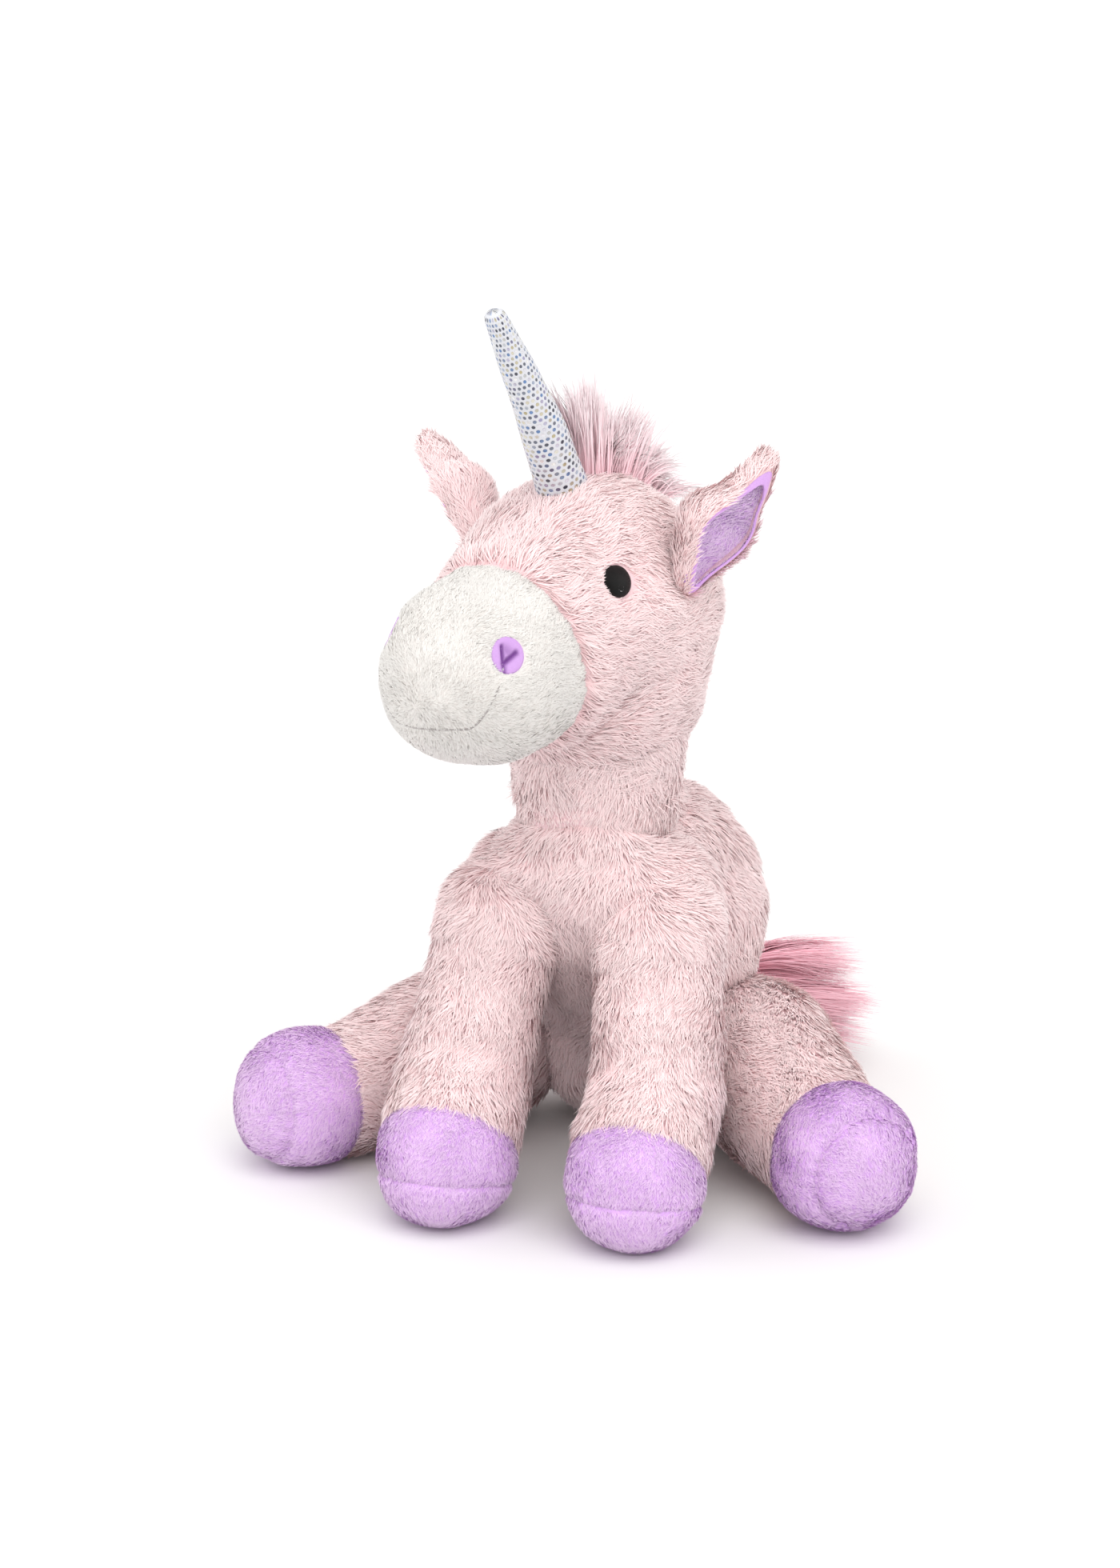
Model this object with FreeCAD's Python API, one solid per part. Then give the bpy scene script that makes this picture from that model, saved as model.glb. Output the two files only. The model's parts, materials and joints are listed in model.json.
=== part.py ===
"""A seated plush unicorn, built as sewn covers over stuffing. Millimetres, +Z up, the toy faces -Y, its left is +X.

Every stuffed form is a tapered capsule: two balls joined by the cone that touches both. Taking the same amount off
both balls gives the exact inner skin, so a cover is form(0) less form(thickness), and its filling lies inside that.
A limb ends in a ball that turns in a socket with room all round, which stands for its seam and slack cloth.
"""

import FreeCAD, Part

import math
import os

from FreeCAD import Vector

# Cloth and clearances
FUR = 3.0  # long-pile cloth: backing and laid pile
PLUSH = 2.0  # short-pile cloth of the muzzle, hooves and ear linings
SPANGLE = 1.2  # laminated cloth of the horn
FILL_SLACK = 0.3  # room between a cover and its filling
SOCKET_GAP = 0.8  # room round a ball in its socket
SWEEP_GAP = 0.8  # further room round the part of a limb outside its ball
SWEEP_STEP = 13.0  # degrees between the poses that a socket is cleared for
PATCH = 1.0  # height of embroidery and sewn-on patches
THREAD = 0.6  # radius of the mouth's thread

# Torso
HAUNCH_R = 54.0
HAUNCH = Vector(0, 86, 86)
CHEST_R = 36.0
CHEST = Vector(0, 50, 108)
SEAT_R = 46.0
SEAT = Vector(0, 100, 40)  # the seat's ball, flattened by the floor
POUCH_R = 31.0  # pouch of pellets in the seat

# Neck and head. The head is laid out facing -Y round the neck's top, then turned
NECK_FOOT_R = 29.0
NECK_TOP_R = 31.0
NECK_FOOT = Vector(0, 47, 142)
NECK_LENGTH = 26.0
NECK_NOD = (-10.0, 14.0)
HEAD_TURN = -19.0  # degrees about +Z: the head looks to its right
SKULL_R = 47.0
SKULL_UP = 48.0
SKULL_FORWARD = 10.0
JAW_R = 43.0
JAW_UP = 24.0
JAW_FORWARD = 4.0
MUZZLE_R = 33.0
MUZZLE_FORWARD = 68.0
MUZZLE_UP = 33.0
MUZZLE_SEAM = 0.77  # where the muzzle is sewn on, as a share of the way from skull to muzzle

# Face
EYE_R = 5.8
EYE_GLINT_R = 1.2
EYE_SIDE = 52.0  # degrees from straight ahead, seen from the skull's centre
EYE_LIFT = 20.0
GLINT_OUT = 1.5  # degrees from the eye's middle
GLINT_DROP = 3.5
NOSTRIL_R = 6.4
NOSTRIL_SIDE = 54.0
NOSTRIL_LIFT = 24.0
MOUTH_DROP = 9.0
MOUTH_HALF = 46.0  # degrees each side of the middle

# Horn and mane
HORN_FOOT_R = 9.5
HORN_TIP_R = 4.0
HORN_LENGTH = 73.0
HORN_LEAN = 29.0
HORN_BEND = (-12.0, 12.0)
HORN_SEAT = 16.0  # degrees forward of the skull's top
HORN_SINK = 2.5
MANE_HEIGHT = 29.0
MANE_HALF_WIDTH = 7.0
MANE_TAPE = 1.5
MANE_TAPE_HALF_WIDTH = 4.0
MANE_START = 6.0  # degrees behind the horn's own edge
MANE_END = 62.0

# Ears
EAR_ROOT_R = 7.0
EAR_MID_R = 15.5
EAR_TIP_R = 5.5
EAR_STEP = 1.2  # how much thinner the outer half starts than the inner half ends
EAR_MOUTH = 0.7  # where the trough opens, as a share of the root's radius
EAR_MID = 22.0
EAR_LENGTH = 50.0
EAR_SIDE = 74.0  # degrees from straight up to the ear's root
EAR_BACK = {"left": 8.0, "right": 20.0}
EAR_SPLAY = {"left": 30.0, "right": 48.0}
EAR_FOLD = (-20.0, 20.0)

# Legs: the ball at the root, the ankle where the hoof is sewn on, and the hoof's toe
FORE_ROOT_R = 23.0
FORE_ANKLE_R = 24.5
FORE_TOE_R = 25.5
FORE_ROOT = Vector(30, 24, 98)
FORE_ANKLE = Vector(35.5, 2, 48)
FORE_TOE = Vector(35, -25, 24)
FORE_SWING = (-70.0, 5.0)
HIND_ROOT_R = 33.0
HIND_ANKLE_R = 25.0
HIND_TOE_R = 26.5
HIND_ROOT = Vector(53, 76, 33)
HIND_ANKLE = Vector(90, 25, 25)
HIND_TOE = Vector(103, 10, 26)
HIND_SPLAY = {"left": (-4.0, 40.0), "right": (-40.0, 4.0)}
ANKLE_STEP = 1.2  # how much thinner the hoof's inner end is than the shank's
FORE_HOOF_SEAM = 0.75  # where the hoof is sewn on, as a share of the way from ankle to toe
HIND_HOOF_SEAM = 0.3
FORE_SOLE_AIM = Vector(0, -0.25, -1)
FORE_SOLE_INSET = 18.0  # how far the sole's edge lies behind its outermost point
HIND_SOLE_INSET = 12.0

# Tail
TAIL_ROOT_R = 7.0
TAIL_HAIR_ROOT_R = 4.0
TAIL_HAIR_END_R = 14.0
TAIL_LENGTH = 72.0
TAIL_TAB = 13.0
TAIL_DROP = 12.0  # degrees below level, on the seat
TAIL_SINK = 3.0
TAIL_AIM = 65.0  # degrees from straight back towards the left
TAIL_SWING = (-5.0, 125.0)

FUZZ = 0.01  # how near two faces lie to be taken as one when a socket is cut
BIG = 600.0
UP = Vector(0, 0, 1)
ACROSS = Vector(1, 0, 0)
SKEW = Vector(0.3, 0.5, 0.8)  # poles of a cutting ball, turned away from those of the forms it cuts


def polar(forward_degrees, side_degrees=0.0):
    """The direction tilted forward from straight up, then turned to the left about +Z."""
    tilt = math.radians(forward_degrees)
    turn = math.radians(side_degrees)
    level = math.sin(tilt)
    return Vector(level * math.sin(turn), -level * math.cos(turn), math.cos(tilt))


def towards(side_degrees, lift_degrees):
    """The direction turned from straight ahead to the left, then lifted."""
    return polar(90.0 - lift_degrees, side_degrees)


def half_space(point, outward):
    """A large block on the outward side of the plane through point."""
    block = Part.makeBox(BIG, BIG, BIG, Vector(-BIG / 2, -BIG / 2, 0))
    block.Placement = FreeCAD.Placement(point, FreeCAD.Rotation(UP, outward))
    return block


class Capsule:
    """Two balls and the cone that touches both."""

    def __init__(self, foot, foot_r, head, head_r):
        self.foot = foot
        self.foot_r = foot_r
        self.head = head
        self.head_r = head_r

    def axis(self):
        return (self.head - self.foot).normalize()

    def solid(self, inset=0.0):
        """The form with its skin taken in, or let out where inset is negative."""
        foot_r = self.foot_r - inset
        head_r = self.head_r - inset
        length = (self.head - self.foot).Length
        slope = math.asin((foot_r - head_r) / length)
        foot_edge = (foot_r * math.cos(slope), foot_r * math.sin(slope))
        head_edge = (head_r * math.cos(slope), length + head_r * math.sin(slope))
        middle = (slope - math.pi / 2) / 2
        foot_mid = (foot_r * math.cos(middle), foot_r * math.sin(middle))
        middle = (slope + math.pi / 2) / 2
        head_mid = (head_r * math.cos(middle), length + head_r * math.sin(middle))

        def at(pair):
            return Vector(pair[0], 0, pair[1])

        bottom = Vector(0, 0, -foot_r)
        top = Vector(0, 0, length + head_r)
        outline = Part.Wire(
            [
                Part.Arc(bottom, at(foot_mid), at(foot_edge)).toShape(),
                Part.LineSegment(at(foot_edge), at(head_edge)).toShape(),
                Part.Arc(at(head_edge), at(head_mid), top).toShape(),
                Part.LineSegment(top, bottom).toShape(),
            ]
        )
        made = Part.Face(outline).revolve(Vector(), UP, 360)
        made.Placement = FreeCAD.Placement(self.foot, FreeCAD.Rotation(UP, self.axis()))
        return made

    def turned(self, pivot, axis, degrees):
        turn = FreeCAD.Rotation(axis, degrees)
        foot = pivot + turn.multVec(self.foot - pivot)
        head = pivot + turn.multVec(self.head - pivot)
        return Capsule(foot, self.foot_r, head, self.head_r)


class Socket:
    """The room for a limb's ball, and for the rest of the limb at every angle of its travel."""

    def __init__(self, limb, axis, travel):
        self.limb = limb
        self.axis = axis
        self.travel = travel

    def cut_from(self, shape, inset=0.0):
        room = SOCKET_GAP + inset
        shape = shape.cut(Part.makeSphere(self.limb.foot_r + room, self.limb.foot, SKEW))
        low, high = self.travel
        steps = max(1, math.ceil((high - low) / SWEEP_STEP))
        slim = Capsule(self.limb.foot, self.limb.foot_r - 2 * SWEEP_GAP, self.limb.head, self.limb.head_r)
        for i in range(steps + 1):
            posed = slim.turned(self.limb.foot, self.axis, low + (high - low) * i / steps)
            shape = shape.cut([posed.solid(-(room + SWEEP_GAP))], FUZZ)
        return shape


def mirrored(point, side):
    return point if side == "left" else Vector(-point.x, point.y, point.z)


def above_floor(shape, height):
    """The part above a level: soft goods lie flat where they rest, and so does what is in them."""
    return shape.cut(half_space(UP * height, -UP))


def cover_and_filling(form, cloth):
    """The sewn cover and the stuffing of form, a function of how far the skin is taken in."""
    return form(0.0).cut(form(cloth)), form(cloth + FILL_SLACK)


def leg_capsules(root, ankle, toe, radii, side):
    root, ankle, toe = (mirrored(p, side) for p in (root, ankle, toe))
    return Capsule(root, radii[0], ankle, radii[1]), Capsule(ankle, radii[1] - ANKLE_STEP, toe, radii[2])


def fore_capsules(side):
    return leg_capsules(FORE_ROOT, FORE_ANKLE, FORE_TOE, (FORE_ROOT_R, FORE_ANKLE_R, FORE_TOE_R), side)


def hind_capsules(side):
    return leg_capsules(HIND_ROOT, HIND_ANKLE, HIND_TOE, (HIND_ROOT_R, HIND_ANKLE_R, HIND_TOE_R), side)


def leg(name, shank, hoof, seam_share, sole_aim, sole_inset):
    """A leg's cover and filling, and its hoof's upper, sole and pellets."""
    seam_out = half_space(hoof.foot + (hoof.head - hoof.foot) * seam_share, hoof.axis())
    sole_out = half_space(hoof.head + sole_aim * (hoof.head_r - sole_inset), sole_aim)

    def leg_form(inset):
        return above_floor(shank.solid(inset).fuse(hoof.solid(inset)), inset).cut(seam_out)

    def hoof_form(inset):
        return above_floor(hoof.solid(inset), inset).common(seam_out)

    cover, filling = cover_and_filling(leg_form, FUR)
    hoof_skin, pellets = cover_and_filling(hoof_form, PLUSH)
    return {
        name + "_cover": cover,
        name + "_stuffing": filling,
        name + "_hoof_cover": hoof_skin.cut(sole_out),
        name + "_hoof_sole": hoof_skin.common(sole_out),
        name + "_hoof_pellets": pellets,
    }


def neck_capsule():
    return Capsule(NECK_FOOT, NECK_FOOT_R, NECK_FOOT + UP * NECK_LENGTH, NECK_TOP_R)


def tail_parts():
    """The tail's pivot and its aim."""
    drop = math.radians(TAIL_DROP)
    outward = Vector(0, math.cos(drop), -math.sin(drop))
    pivot = SEAT + outward * (SEAT_R - TAIL_SINK)
    aim = math.radians(TAIL_AIM)
    return pivot, Vector(math.sin(aim), math.cos(aim), 0)


def tail_capsule():
    pivot, aim = tail_parts()
    return Capsule(pivot, TAIL_ROOT_R, pivot + aim * TAIL_TAB, TAIL_HAIR_ROOT_R)


def torso():
    """The torso's cover, its stuffing and the pouch of pellets that makes it sit."""
    sockets = [Socket(neck_capsule(), ACROSS, NECK_NOD)]
    for side in ("left", "right"):
        sockets.append(Socket(fore_capsules(side)[0], ACROSS, FORE_SWING))
        sockets.append(Socket(hind_capsules(side)[0], UP, HIND_SPLAY[side]))
    sockets.append(Socket(tail_capsule(), UP, TAIL_SWING))
    trunk = Capsule(HAUNCH, HAUNCH_R, CHEST, CHEST_R)

    def form(inset):
        seat = Part.makeSphere(SEAT_R - inset, SEAT, SKEW)
        shape = above_floor(trunk.solid(inset).fuse(seat), inset)
        for socket in sockets:
            shape = socket.cut_from(shape, inset)
        return max(shape.Solids, key=lambda s: s.Volume)

    cover, filling = cover_and_filling(form, FUR)
    pouch = Part.makeSphere(POUCH_R, SEAT)
    return {
        "torso_cover": cover,
        "torso_stuffing": filling.cut(Part.makeSphere(POUCH_R + FILL_SLACK, SEAT)),
        "seat_pellet_pouch": pouch.common(form(FUR + FILL_SLACK)),
    }


def neck():
    body = neck_capsule()
    cover, filling = cover_and_filling(body.solid, FUR)
    return {"neck_cover": cover, "neck_stuffing": filling}


# The head's own frame: the neck's top at the origin, facing -Y
SKULL = Vector(0, -SKULL_FORWARD, SKULL_UP)
MUZZLE = Vector(0, -MUZZLE_FORWARD, MUZZLE_UP)


def head_pivots():
    """The horn's and the ears' pivots, and their capsules."""
    horn_at = SKULL + polar(HORN_SEAT) * (SKULL_R - HORN_SINK)
    horn = Capsule(horn_at, HORN_FOOT_R, horn_at + polar(HORN_LEAN) * HORN_LENGTH, HORN_TIP_R)
    ears = {}
    for side in ("left", "right"):
        splay = math.radians(EAR_SPLAY[side])
        root = math.radians(EAR_SIDE)
        back = math.tan(math.radians(EAR_BACK[side]))
        at = Vector(math.sin(root), 0, math.cos(root)) * SKULL_R
        aim = Vector(math.sin(splay), back, math.cos(splay))
        at, aim = SKULL + mirrored(at, side), mirrored(aim, side).normalize()
        ears[side] = (at, aim)
    return horn, ears


def ear_root_capsule(at, aim):
    return Capsule(at, EAR_ROOT_R, at + aim * EAR_MID, EAR_MID_R)


def ear_fold_axis(aim):
    """The ear folds towards the front and the back, about the line across its root."""
    return aim.cross(Vector(0, -1, 0)).normalize()


def head():
    """The head's covers and fillings, the face, and the mane, in the head's own frame."""
    horn, ears = head_pivots()
    cheek = Capsule(SKULL, SKULL_R, MUZZLE, MUZZLE_R)
    jaw_at = Vector(0, -JAW_FORWARD, JAW_UP)
    socket_for_neck = Socket(Capsule(Vector(), NECK_TOP_R, UP * -NECK_LENGTH, NECK_FOOT_R), UP, (0, 0))
    sockets = [Socket(horn, ACROSS, HORN_BEND)]
    for at, aim in ears.values():
        sockets.append(Socket(ear_root_capsule(at, aim), ear_fold_axis(aim), EAR_FOLD))
    seam_out = half_space(SKULL + (MUZZLE - SKULL) * MUZZLE_SEAM, cheek.axis())

    def head_form(inset):
        shape = cheek.solid(inset).cut(seam_out)
        shape = shape.fuse(Part.makeSphere(JAW_R - inset, jaw_at, SKEW))
        shape = socket_for_neck.cut_from(shape, inset)
        for socket in sockets:
            shape = socket.cut_from(shape, inset)
        return max(shape.Solids, key=lambda s: s.Volume)

    def muzzle_form(inset):
        return cheek.solid(inset).common(seam_out)

    parts = {}
    parts["head_cover"], parts["head_stuffing"] = cover_and_filling(head_form, FUR)
    parts["muzzle_cover"], parts["muzzle_stuffing"] = cover_and_filling(muzzle_form, PLUSH)

    def patch(centre, direction, radius, low):
        """A disc sewn on the skin at the height low, where the ray from centre meets it."""
        punch = Part.makeCylinder(radius, BIG / 2, centre, direction)
        return punch.common(cheek.solid(-low - PATCH)).cut(cheek.solid(-low))

    for side, sign in (("left", 1), ("right", -1)):
        eye_aim = towards(sign * EYE_SIDE, EYE_LIFT)
        glint_aim = towards(sign * (EYE_SIDE + GLINT_OUT), EYE_LIFT - GLINT_DROP)
        parts[side + "_eye"] = patch(SKULL, eye_aim, EYE_R, 0.0)
        parts[side + "_eye_glint"] = patch(SKULL, glint_aim, EYE_GLINT_R, PATCH)
        nostril_aim = towards(sign * NOSTRIL_SIDE, NOSTRIL_LIFT)
        parts[side + "_nostril"] = patch(MUZZLE, nostril_aim, NOSTRIL_R, 0.0)
    ring_r = math.sqrt(MUZZLE_R**2 - MOUTH_DROP**2)
    lip = Part.makeTorus(ring_r, THREAD, MUZZLE - UP * MOUTH_DROP, UP, 0, 360, 2 * MOUTH_HALF)
    lip.rotate(MUZZLE, UP, -90 - MOUTH_HALF)
    parts["mouth_stitch"] = lip.cut(cheek.solid())
    front = polar(HORN_SEAT - math.degrees(HORN_FOOT_R / SKULL_R) - MANE_START)
    rear = polar(-MANE_END)
    wedge_front = half_space(SKULL, ACROSS.cross(front))
    wedge_rear = half_space(SKULL, rear.cross(ACROSS))

    def strip(low, high, half_width):
        slab = Part.makeBox(2 * half_width, BIG, BIG, SKULL - Vector(half_width, BIG / 2, 0))
        layer = cheek.solid(-high).cut(cheek.solid(-low))
        return layer.common(slab).cut(wedge_front).cut(wedge_rear)

    parts["mane_tape"] = strip(0.0, MANE_TAPE, MANE_TAPE_HALF_WIDTH)
    parts["mane_hair"] = strip(MANE_TAPE, MANE_HEIGHT, MANE_HALF_WIDTH)
    return parts


def horn():
    """The horn's cover and stuffing, in the head's own frame."""
    body = head_pivots()[0]
    cover, filling = cover_and_filling(body.solid, SPANGLE)
    return {"horn_cover": cover, "horn_stuffing": filling}


def ear(side):
    """An ear's furred back, folded to a trough that opens outwards, and its lining, in the head's own frame."""
    at, aim = head_pivots()[1][side]
    root = ear_root_capsule(at, aim)
    tip = Capsule(root.head, EAR_MID_R - EAR_STEP, at + aim * EAR_LENGTH, EAR_TIP_R)
    outward = mirrored(ACROSS, side)
    opening = (outward - aim * outward.dot(aim)).normalize()
    mouth = half_space(at + opening * EAR_ROOT_R * EAR_MOUTH, opening)
    above_root = half_space(at + aim * EAR_ROOT_R, aim)

    def form(inset):
        return root.solid(inset).fuse(tip.solid(inset))

    back = form(0.0).cut(form(FUR).common(above_root)).cut(mouth)
    lining_outer = form(FUR + FILL_SLACK).common(half_space(at + aim * (EAR_ROOT_R + FILL_SLACK), aim))
    lining = lining_outer.cut(form(FUR + FILL_SLACK + PLUSH)).cut(mouth)
    return {side + "_ear_back": back, side + "_ear_lining": lining}


def tail():
    pivot, aim = tail_parts()
    tab = tail_capsule()
    hair = Capsule(tab.head + aim * TAIL_HAIR_ROOT_R, TAIL_HAIR_ROOT_R, pivot + aim * TAIL_LENGTH, TAIL_HAIR_END_R)
    return {"tail_tab": tab.solid(), "tail_hair": hair.solid().cut(tab.solid(-FILL_SLACK))}


def placed_head(parts):
    """The head's parts, turned and set on the neck."""
    place = FreeCAD.Placement(NECK_FOOT + UP * NECK_LENGTH, FreeCAD.Rotation(UP, HEAD_TURN))
    for shape in parts.values():
        shape.Placement = place.multiply(shape.Placement)
    return parts


def joints():
    """Each joint's pivot, axis and travel, in the construction frame."""
    place = FreeCAD.Placement(NECK_FOOT + UP * NECK_LENGTH, FreeCAD.Rotation(UP, HEAD_TURN))
    horn_body, ears = head_pivots()
    found = {
        "neck_nod": (NECK_FOOT, ACROSS, NECK_NOD),
        "head_turn": (place.Base, UP, None),
        "horn_bend": (place.multVec(horn_body.foot), place.Rotation.multVec(ACROSS), HORN_BEND),
        "tail_swing": (tail_parts()[0], UP, TAIL_SWING),
    }
    for side in ("left", "right"):
        at, aim = ears[side]
        axis = place.Rotation.multVec(ear_fold_axis(aim))
        found[side + "_ear_fold"] = (place.multVec(at), axis, EAR_FOLD)
        found[side + "_foreleg_swing"] = (mirrored(FORE_ROOT, side), ACROSS, FORE_SWING)
        found[side + "_hindleg_splay"] = (mirrored(HIND_ROOT, side), UP, HIND_SPLAY[side])
    return found


def build():
    """Every piece by name, in the construction frame."""
    on_head = head()
    on_head.update(horn())
    for side in ("left", "right"):
        on_head.update(ear(side))
    parts = placed_head(on_head)
    parts.update(torso())
    parts.update(neck())
    parts.update(tail())
    for side in ("left", "right"):
        fore = fore_capsules(side)
        sole = Vector(FORE_SOLE_AIM).normalize()
        parts.update(leg(side + "_foreleg", *fore, FORE_HOOF_SEAM, sole, FORE_SOLE_INSET))
        hind = hind_capsules(side)
        parts.update(leg(side + "_hindleg", *hind, HIND_HOOF_SEAM, hind[1].axis(), HIND_SOLE_INSET))
    return parts


def main():
    parts = build()
    shift = Vector(-SEAT.x, -SEAT.y, 0)
    os.makedirs("parts", exist_ok=True)
    for name, shape in parts.items():
        shape.translate(shift)
        shape.exportStep(os.path.join("parts", name + ".step"))
        print(f"{name}: {len(shape.Solids)} solid, {shape.Volume / 1000:.2f} cm3")
    for name, (pivot, axis, travel) in joints().items():
        at = pivot + shift
        print(f"joint {name} at {at.x:.3f} {at.y:.3f} {at.z:.3f} axis {axis.x:.5f} {axis.y:.5f} {axis.z:.5f} {travel}")


main()
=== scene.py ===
"""The looks of a seated plush unicorn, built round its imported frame. Metres, +Z up, the toy faces -Y.

Every stuffed part starts from the tapered balls of its frame, is filled out as cloth under pressure, pressed
clear of its neighbours, and then given its pile: short velvet or long fur, planted strand by strand.
"""

from __future__ import annotations

import functools
import json
import logging
import math
from dataclasses import dataclass
from enum import Enum
from typing import Callable, Iterable, Sequence

import bmesh
import bpy
import numpy as np
from mathutils import Matrix, Vector
from mathutils.bvhtree import BVHTree

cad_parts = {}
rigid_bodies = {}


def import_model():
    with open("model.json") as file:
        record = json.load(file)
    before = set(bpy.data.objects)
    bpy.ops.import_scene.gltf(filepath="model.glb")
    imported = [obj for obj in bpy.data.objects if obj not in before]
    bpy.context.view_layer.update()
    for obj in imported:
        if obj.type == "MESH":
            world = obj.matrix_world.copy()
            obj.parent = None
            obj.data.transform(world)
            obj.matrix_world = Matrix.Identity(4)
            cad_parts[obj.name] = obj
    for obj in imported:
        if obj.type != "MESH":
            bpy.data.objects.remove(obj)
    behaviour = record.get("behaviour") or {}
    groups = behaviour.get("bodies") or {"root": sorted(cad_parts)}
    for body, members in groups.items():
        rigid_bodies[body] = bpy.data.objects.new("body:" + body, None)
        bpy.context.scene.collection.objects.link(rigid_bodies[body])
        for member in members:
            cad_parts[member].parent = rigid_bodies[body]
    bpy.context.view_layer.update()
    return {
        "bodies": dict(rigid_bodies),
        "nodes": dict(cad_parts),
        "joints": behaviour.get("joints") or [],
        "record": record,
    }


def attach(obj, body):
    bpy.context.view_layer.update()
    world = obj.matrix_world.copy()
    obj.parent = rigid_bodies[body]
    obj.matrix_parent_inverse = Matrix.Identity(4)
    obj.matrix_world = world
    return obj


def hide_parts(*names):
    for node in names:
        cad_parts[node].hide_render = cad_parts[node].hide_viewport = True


MM = 0.001
LOG = logging.getLogger("unicorn")
Array = np.ndarray
UP = np.array((0.0, 0.0, 1.0))


class Side(Enum):
    """The toy's own left and right."""

    LEFT = 1
    RIGHT = -1

    @property
    def word(self) -> str:
        """The side's name in lower case."""
        return self.name.lower()


def mm(x: float, y: float, z: float) -> Array:
    """A point or vector given in millimetres."""
    return np.array((x, y, z), float) * MM


def mirrored(v: Array, side: Side) -> Array:
    """The vector on the given side of the toy's middle."""
    return v * np.array((side.value, 1.0, 1.0))


def unit(v: Array) -> Array:
    """Vectors of length one, along the last axis."""
    return v / np.maximum(np.linalg.norm(v, axis=-1, keepdims=True), 1e-12)


def across(directions: Array, normals: Array) -> Array:
    """The part of each direction that lies in the surface, at length one."""
    flat = directions - (directions * normals).sum(-1, keepdims=True) * normals
    return unit(flat)


def one_way(way: Array, points: Array) -> Array:
    """The same brushed direction at every point."""
    return np.broadcast_to(way, points.shape)


def waves(points: Array, size: float, seed: int, terms: int = 7) -> Array:
    """Smooth noise, about -1 to 1, with bumps of the given size."""
    rng = np.random.default_rng(seed)
    total = np.zeros(len(points))
    for _ in range(terms):
        k = unit(rng.normal(size=3)) * rng.uniform(0.6, 1.6) * math.pi / size
        total += np.sin(points @ k + rng.uniform(0, 2 * math.pi))
    return total / math.sqrt(terms)


@dataclass(frozen=True)
class Capsule:
    """Two balls and the cone that touches both."""

    foot: Array
    foot_r: float
    head: Array
    head_r: float

    @property
    def axis(self) -> Array:
        """The direction from foot to head."""
        return unit(self.head - self.foot)

    def grown(self, by: float) -> Capsule:
        """The same form with its skin let out, or taken in where by is negative."""
        return Capsule(self.foot, self.foot_r + by, self.head, self.head_r + by)

    def height(self, points: Array) -> tuple[Array, Array]:
        """How far points lie outside the skin, and the way out for each."""
        along = self.head - self.foot
        length = np.linalg.norm(along)
        axis = along / length
        rel = points - self.foot
        axial = rel @ axis
        radial = np.linalg.norm(rel - axial[:, None] * axis, axis=1)
        slope = math.asin(np.clip((self.foot_r - self.head_r) / length, -0.99, 0.99))
        t = np.clip((axial - radial * math.tan(slope)) / length, 0, 1)
        out = points - (self.foot + t[:, None] * along)
        reach = np.linalg.norm(out, axis=1)
        return reach - (self.foot_r + t * (self.head_r - self.foot_r)), out / np.maximum(reach, 1e-9)[:, None]

    def hull(self, bm: bmesh.types.BMesh) -> None:
        """Adds the capsule to bm as a closed hull."""
        made = []
        for centre, radius in ((self.foot, self.foot_r), (self.head, self.head_r)):
            place = Matrix.Translation(Vector(centre))
            ball = bmesh.ops.create_uvsphere(bm, u_segments=40, v_segments=24, radius=radius, matrix=place)
            made += ball["verts"]
        result = bmesh.ops.convex_hull(bm, input=made)
        within = result["geom_interior"] + result["geom_unused"]
        inner = {g for g in within if isinstance(g, bmesh.types.BMVert)}
        bmesh.ops.delete(bm, geom=list(inner), context="VERTS")


# Meshes


def mesh_object(name: str, bm: bmesh.types.BMesh) -> bpy.types.Object:
    """An object in the scene that holds bm, with smooth faces."""
    mesh = bpy.data.meshes.new(name)
    bm.to_mesh(mesh)
    bm.free()
    return stand(name, mesh)


def stand(name: str, mesh: bpy.types.Mesh) -> bpy.types.Object:
    """An object in the scene for a mesh, with smooth faces."""
    mesh.polygons.foreach_set("use_smooth", np.ones(len(mesh.polygons), bool))
    made = bpy.data.objects.new(name, mesh)
    bpy.context.scene.collection.objects.link(made)
    return made


def points_of(obj: bpy.types.Object) -> Array:
    """The mesh's points."""
    co = np.empty(len(obj.data.vertices) * 3, np.float32)
    obj.data.vertices.foreach_get("co", co)
    return co.reshape(-1, 3).astype(float)


def set_points(obj: bpy.types.Object, points: Array) -> None:
    """Moves the mesh's points."""
    obj.data.vertices.foreach_set("co", points.astype(np.float32).ravel())
    obj.data.update()


def normals_of(obj: bpy.types.Object) -> Array:
    """The mesh's point normals."""
    out = np.empty(len(obj.data.vertices) * 3, np.float32)
    obj.data.vertex_normals.foreach_get("vector", out)
    return out.reshape(-1, 3).astype(float)


def settle(obj: bpy.types.Object) -> None:
    """Applies the object's modifiers to its mesh."""
    bpy.context.view_layer.update()
    graph = bpy.context.evaluated_depsgraph_get()
    fresh = bpy.data.meshes.new_from_object(obj.evaluated_get(graph), depsgraph=graph)
    old = obj.data
    obj.modifiers.clear()
    obj.data = fresh
    bpy.data.meshes.remove(old)
    fresh.polygons.foreach_set("use_smooth", np.ones(len(fresh.polygons), bool))


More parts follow.
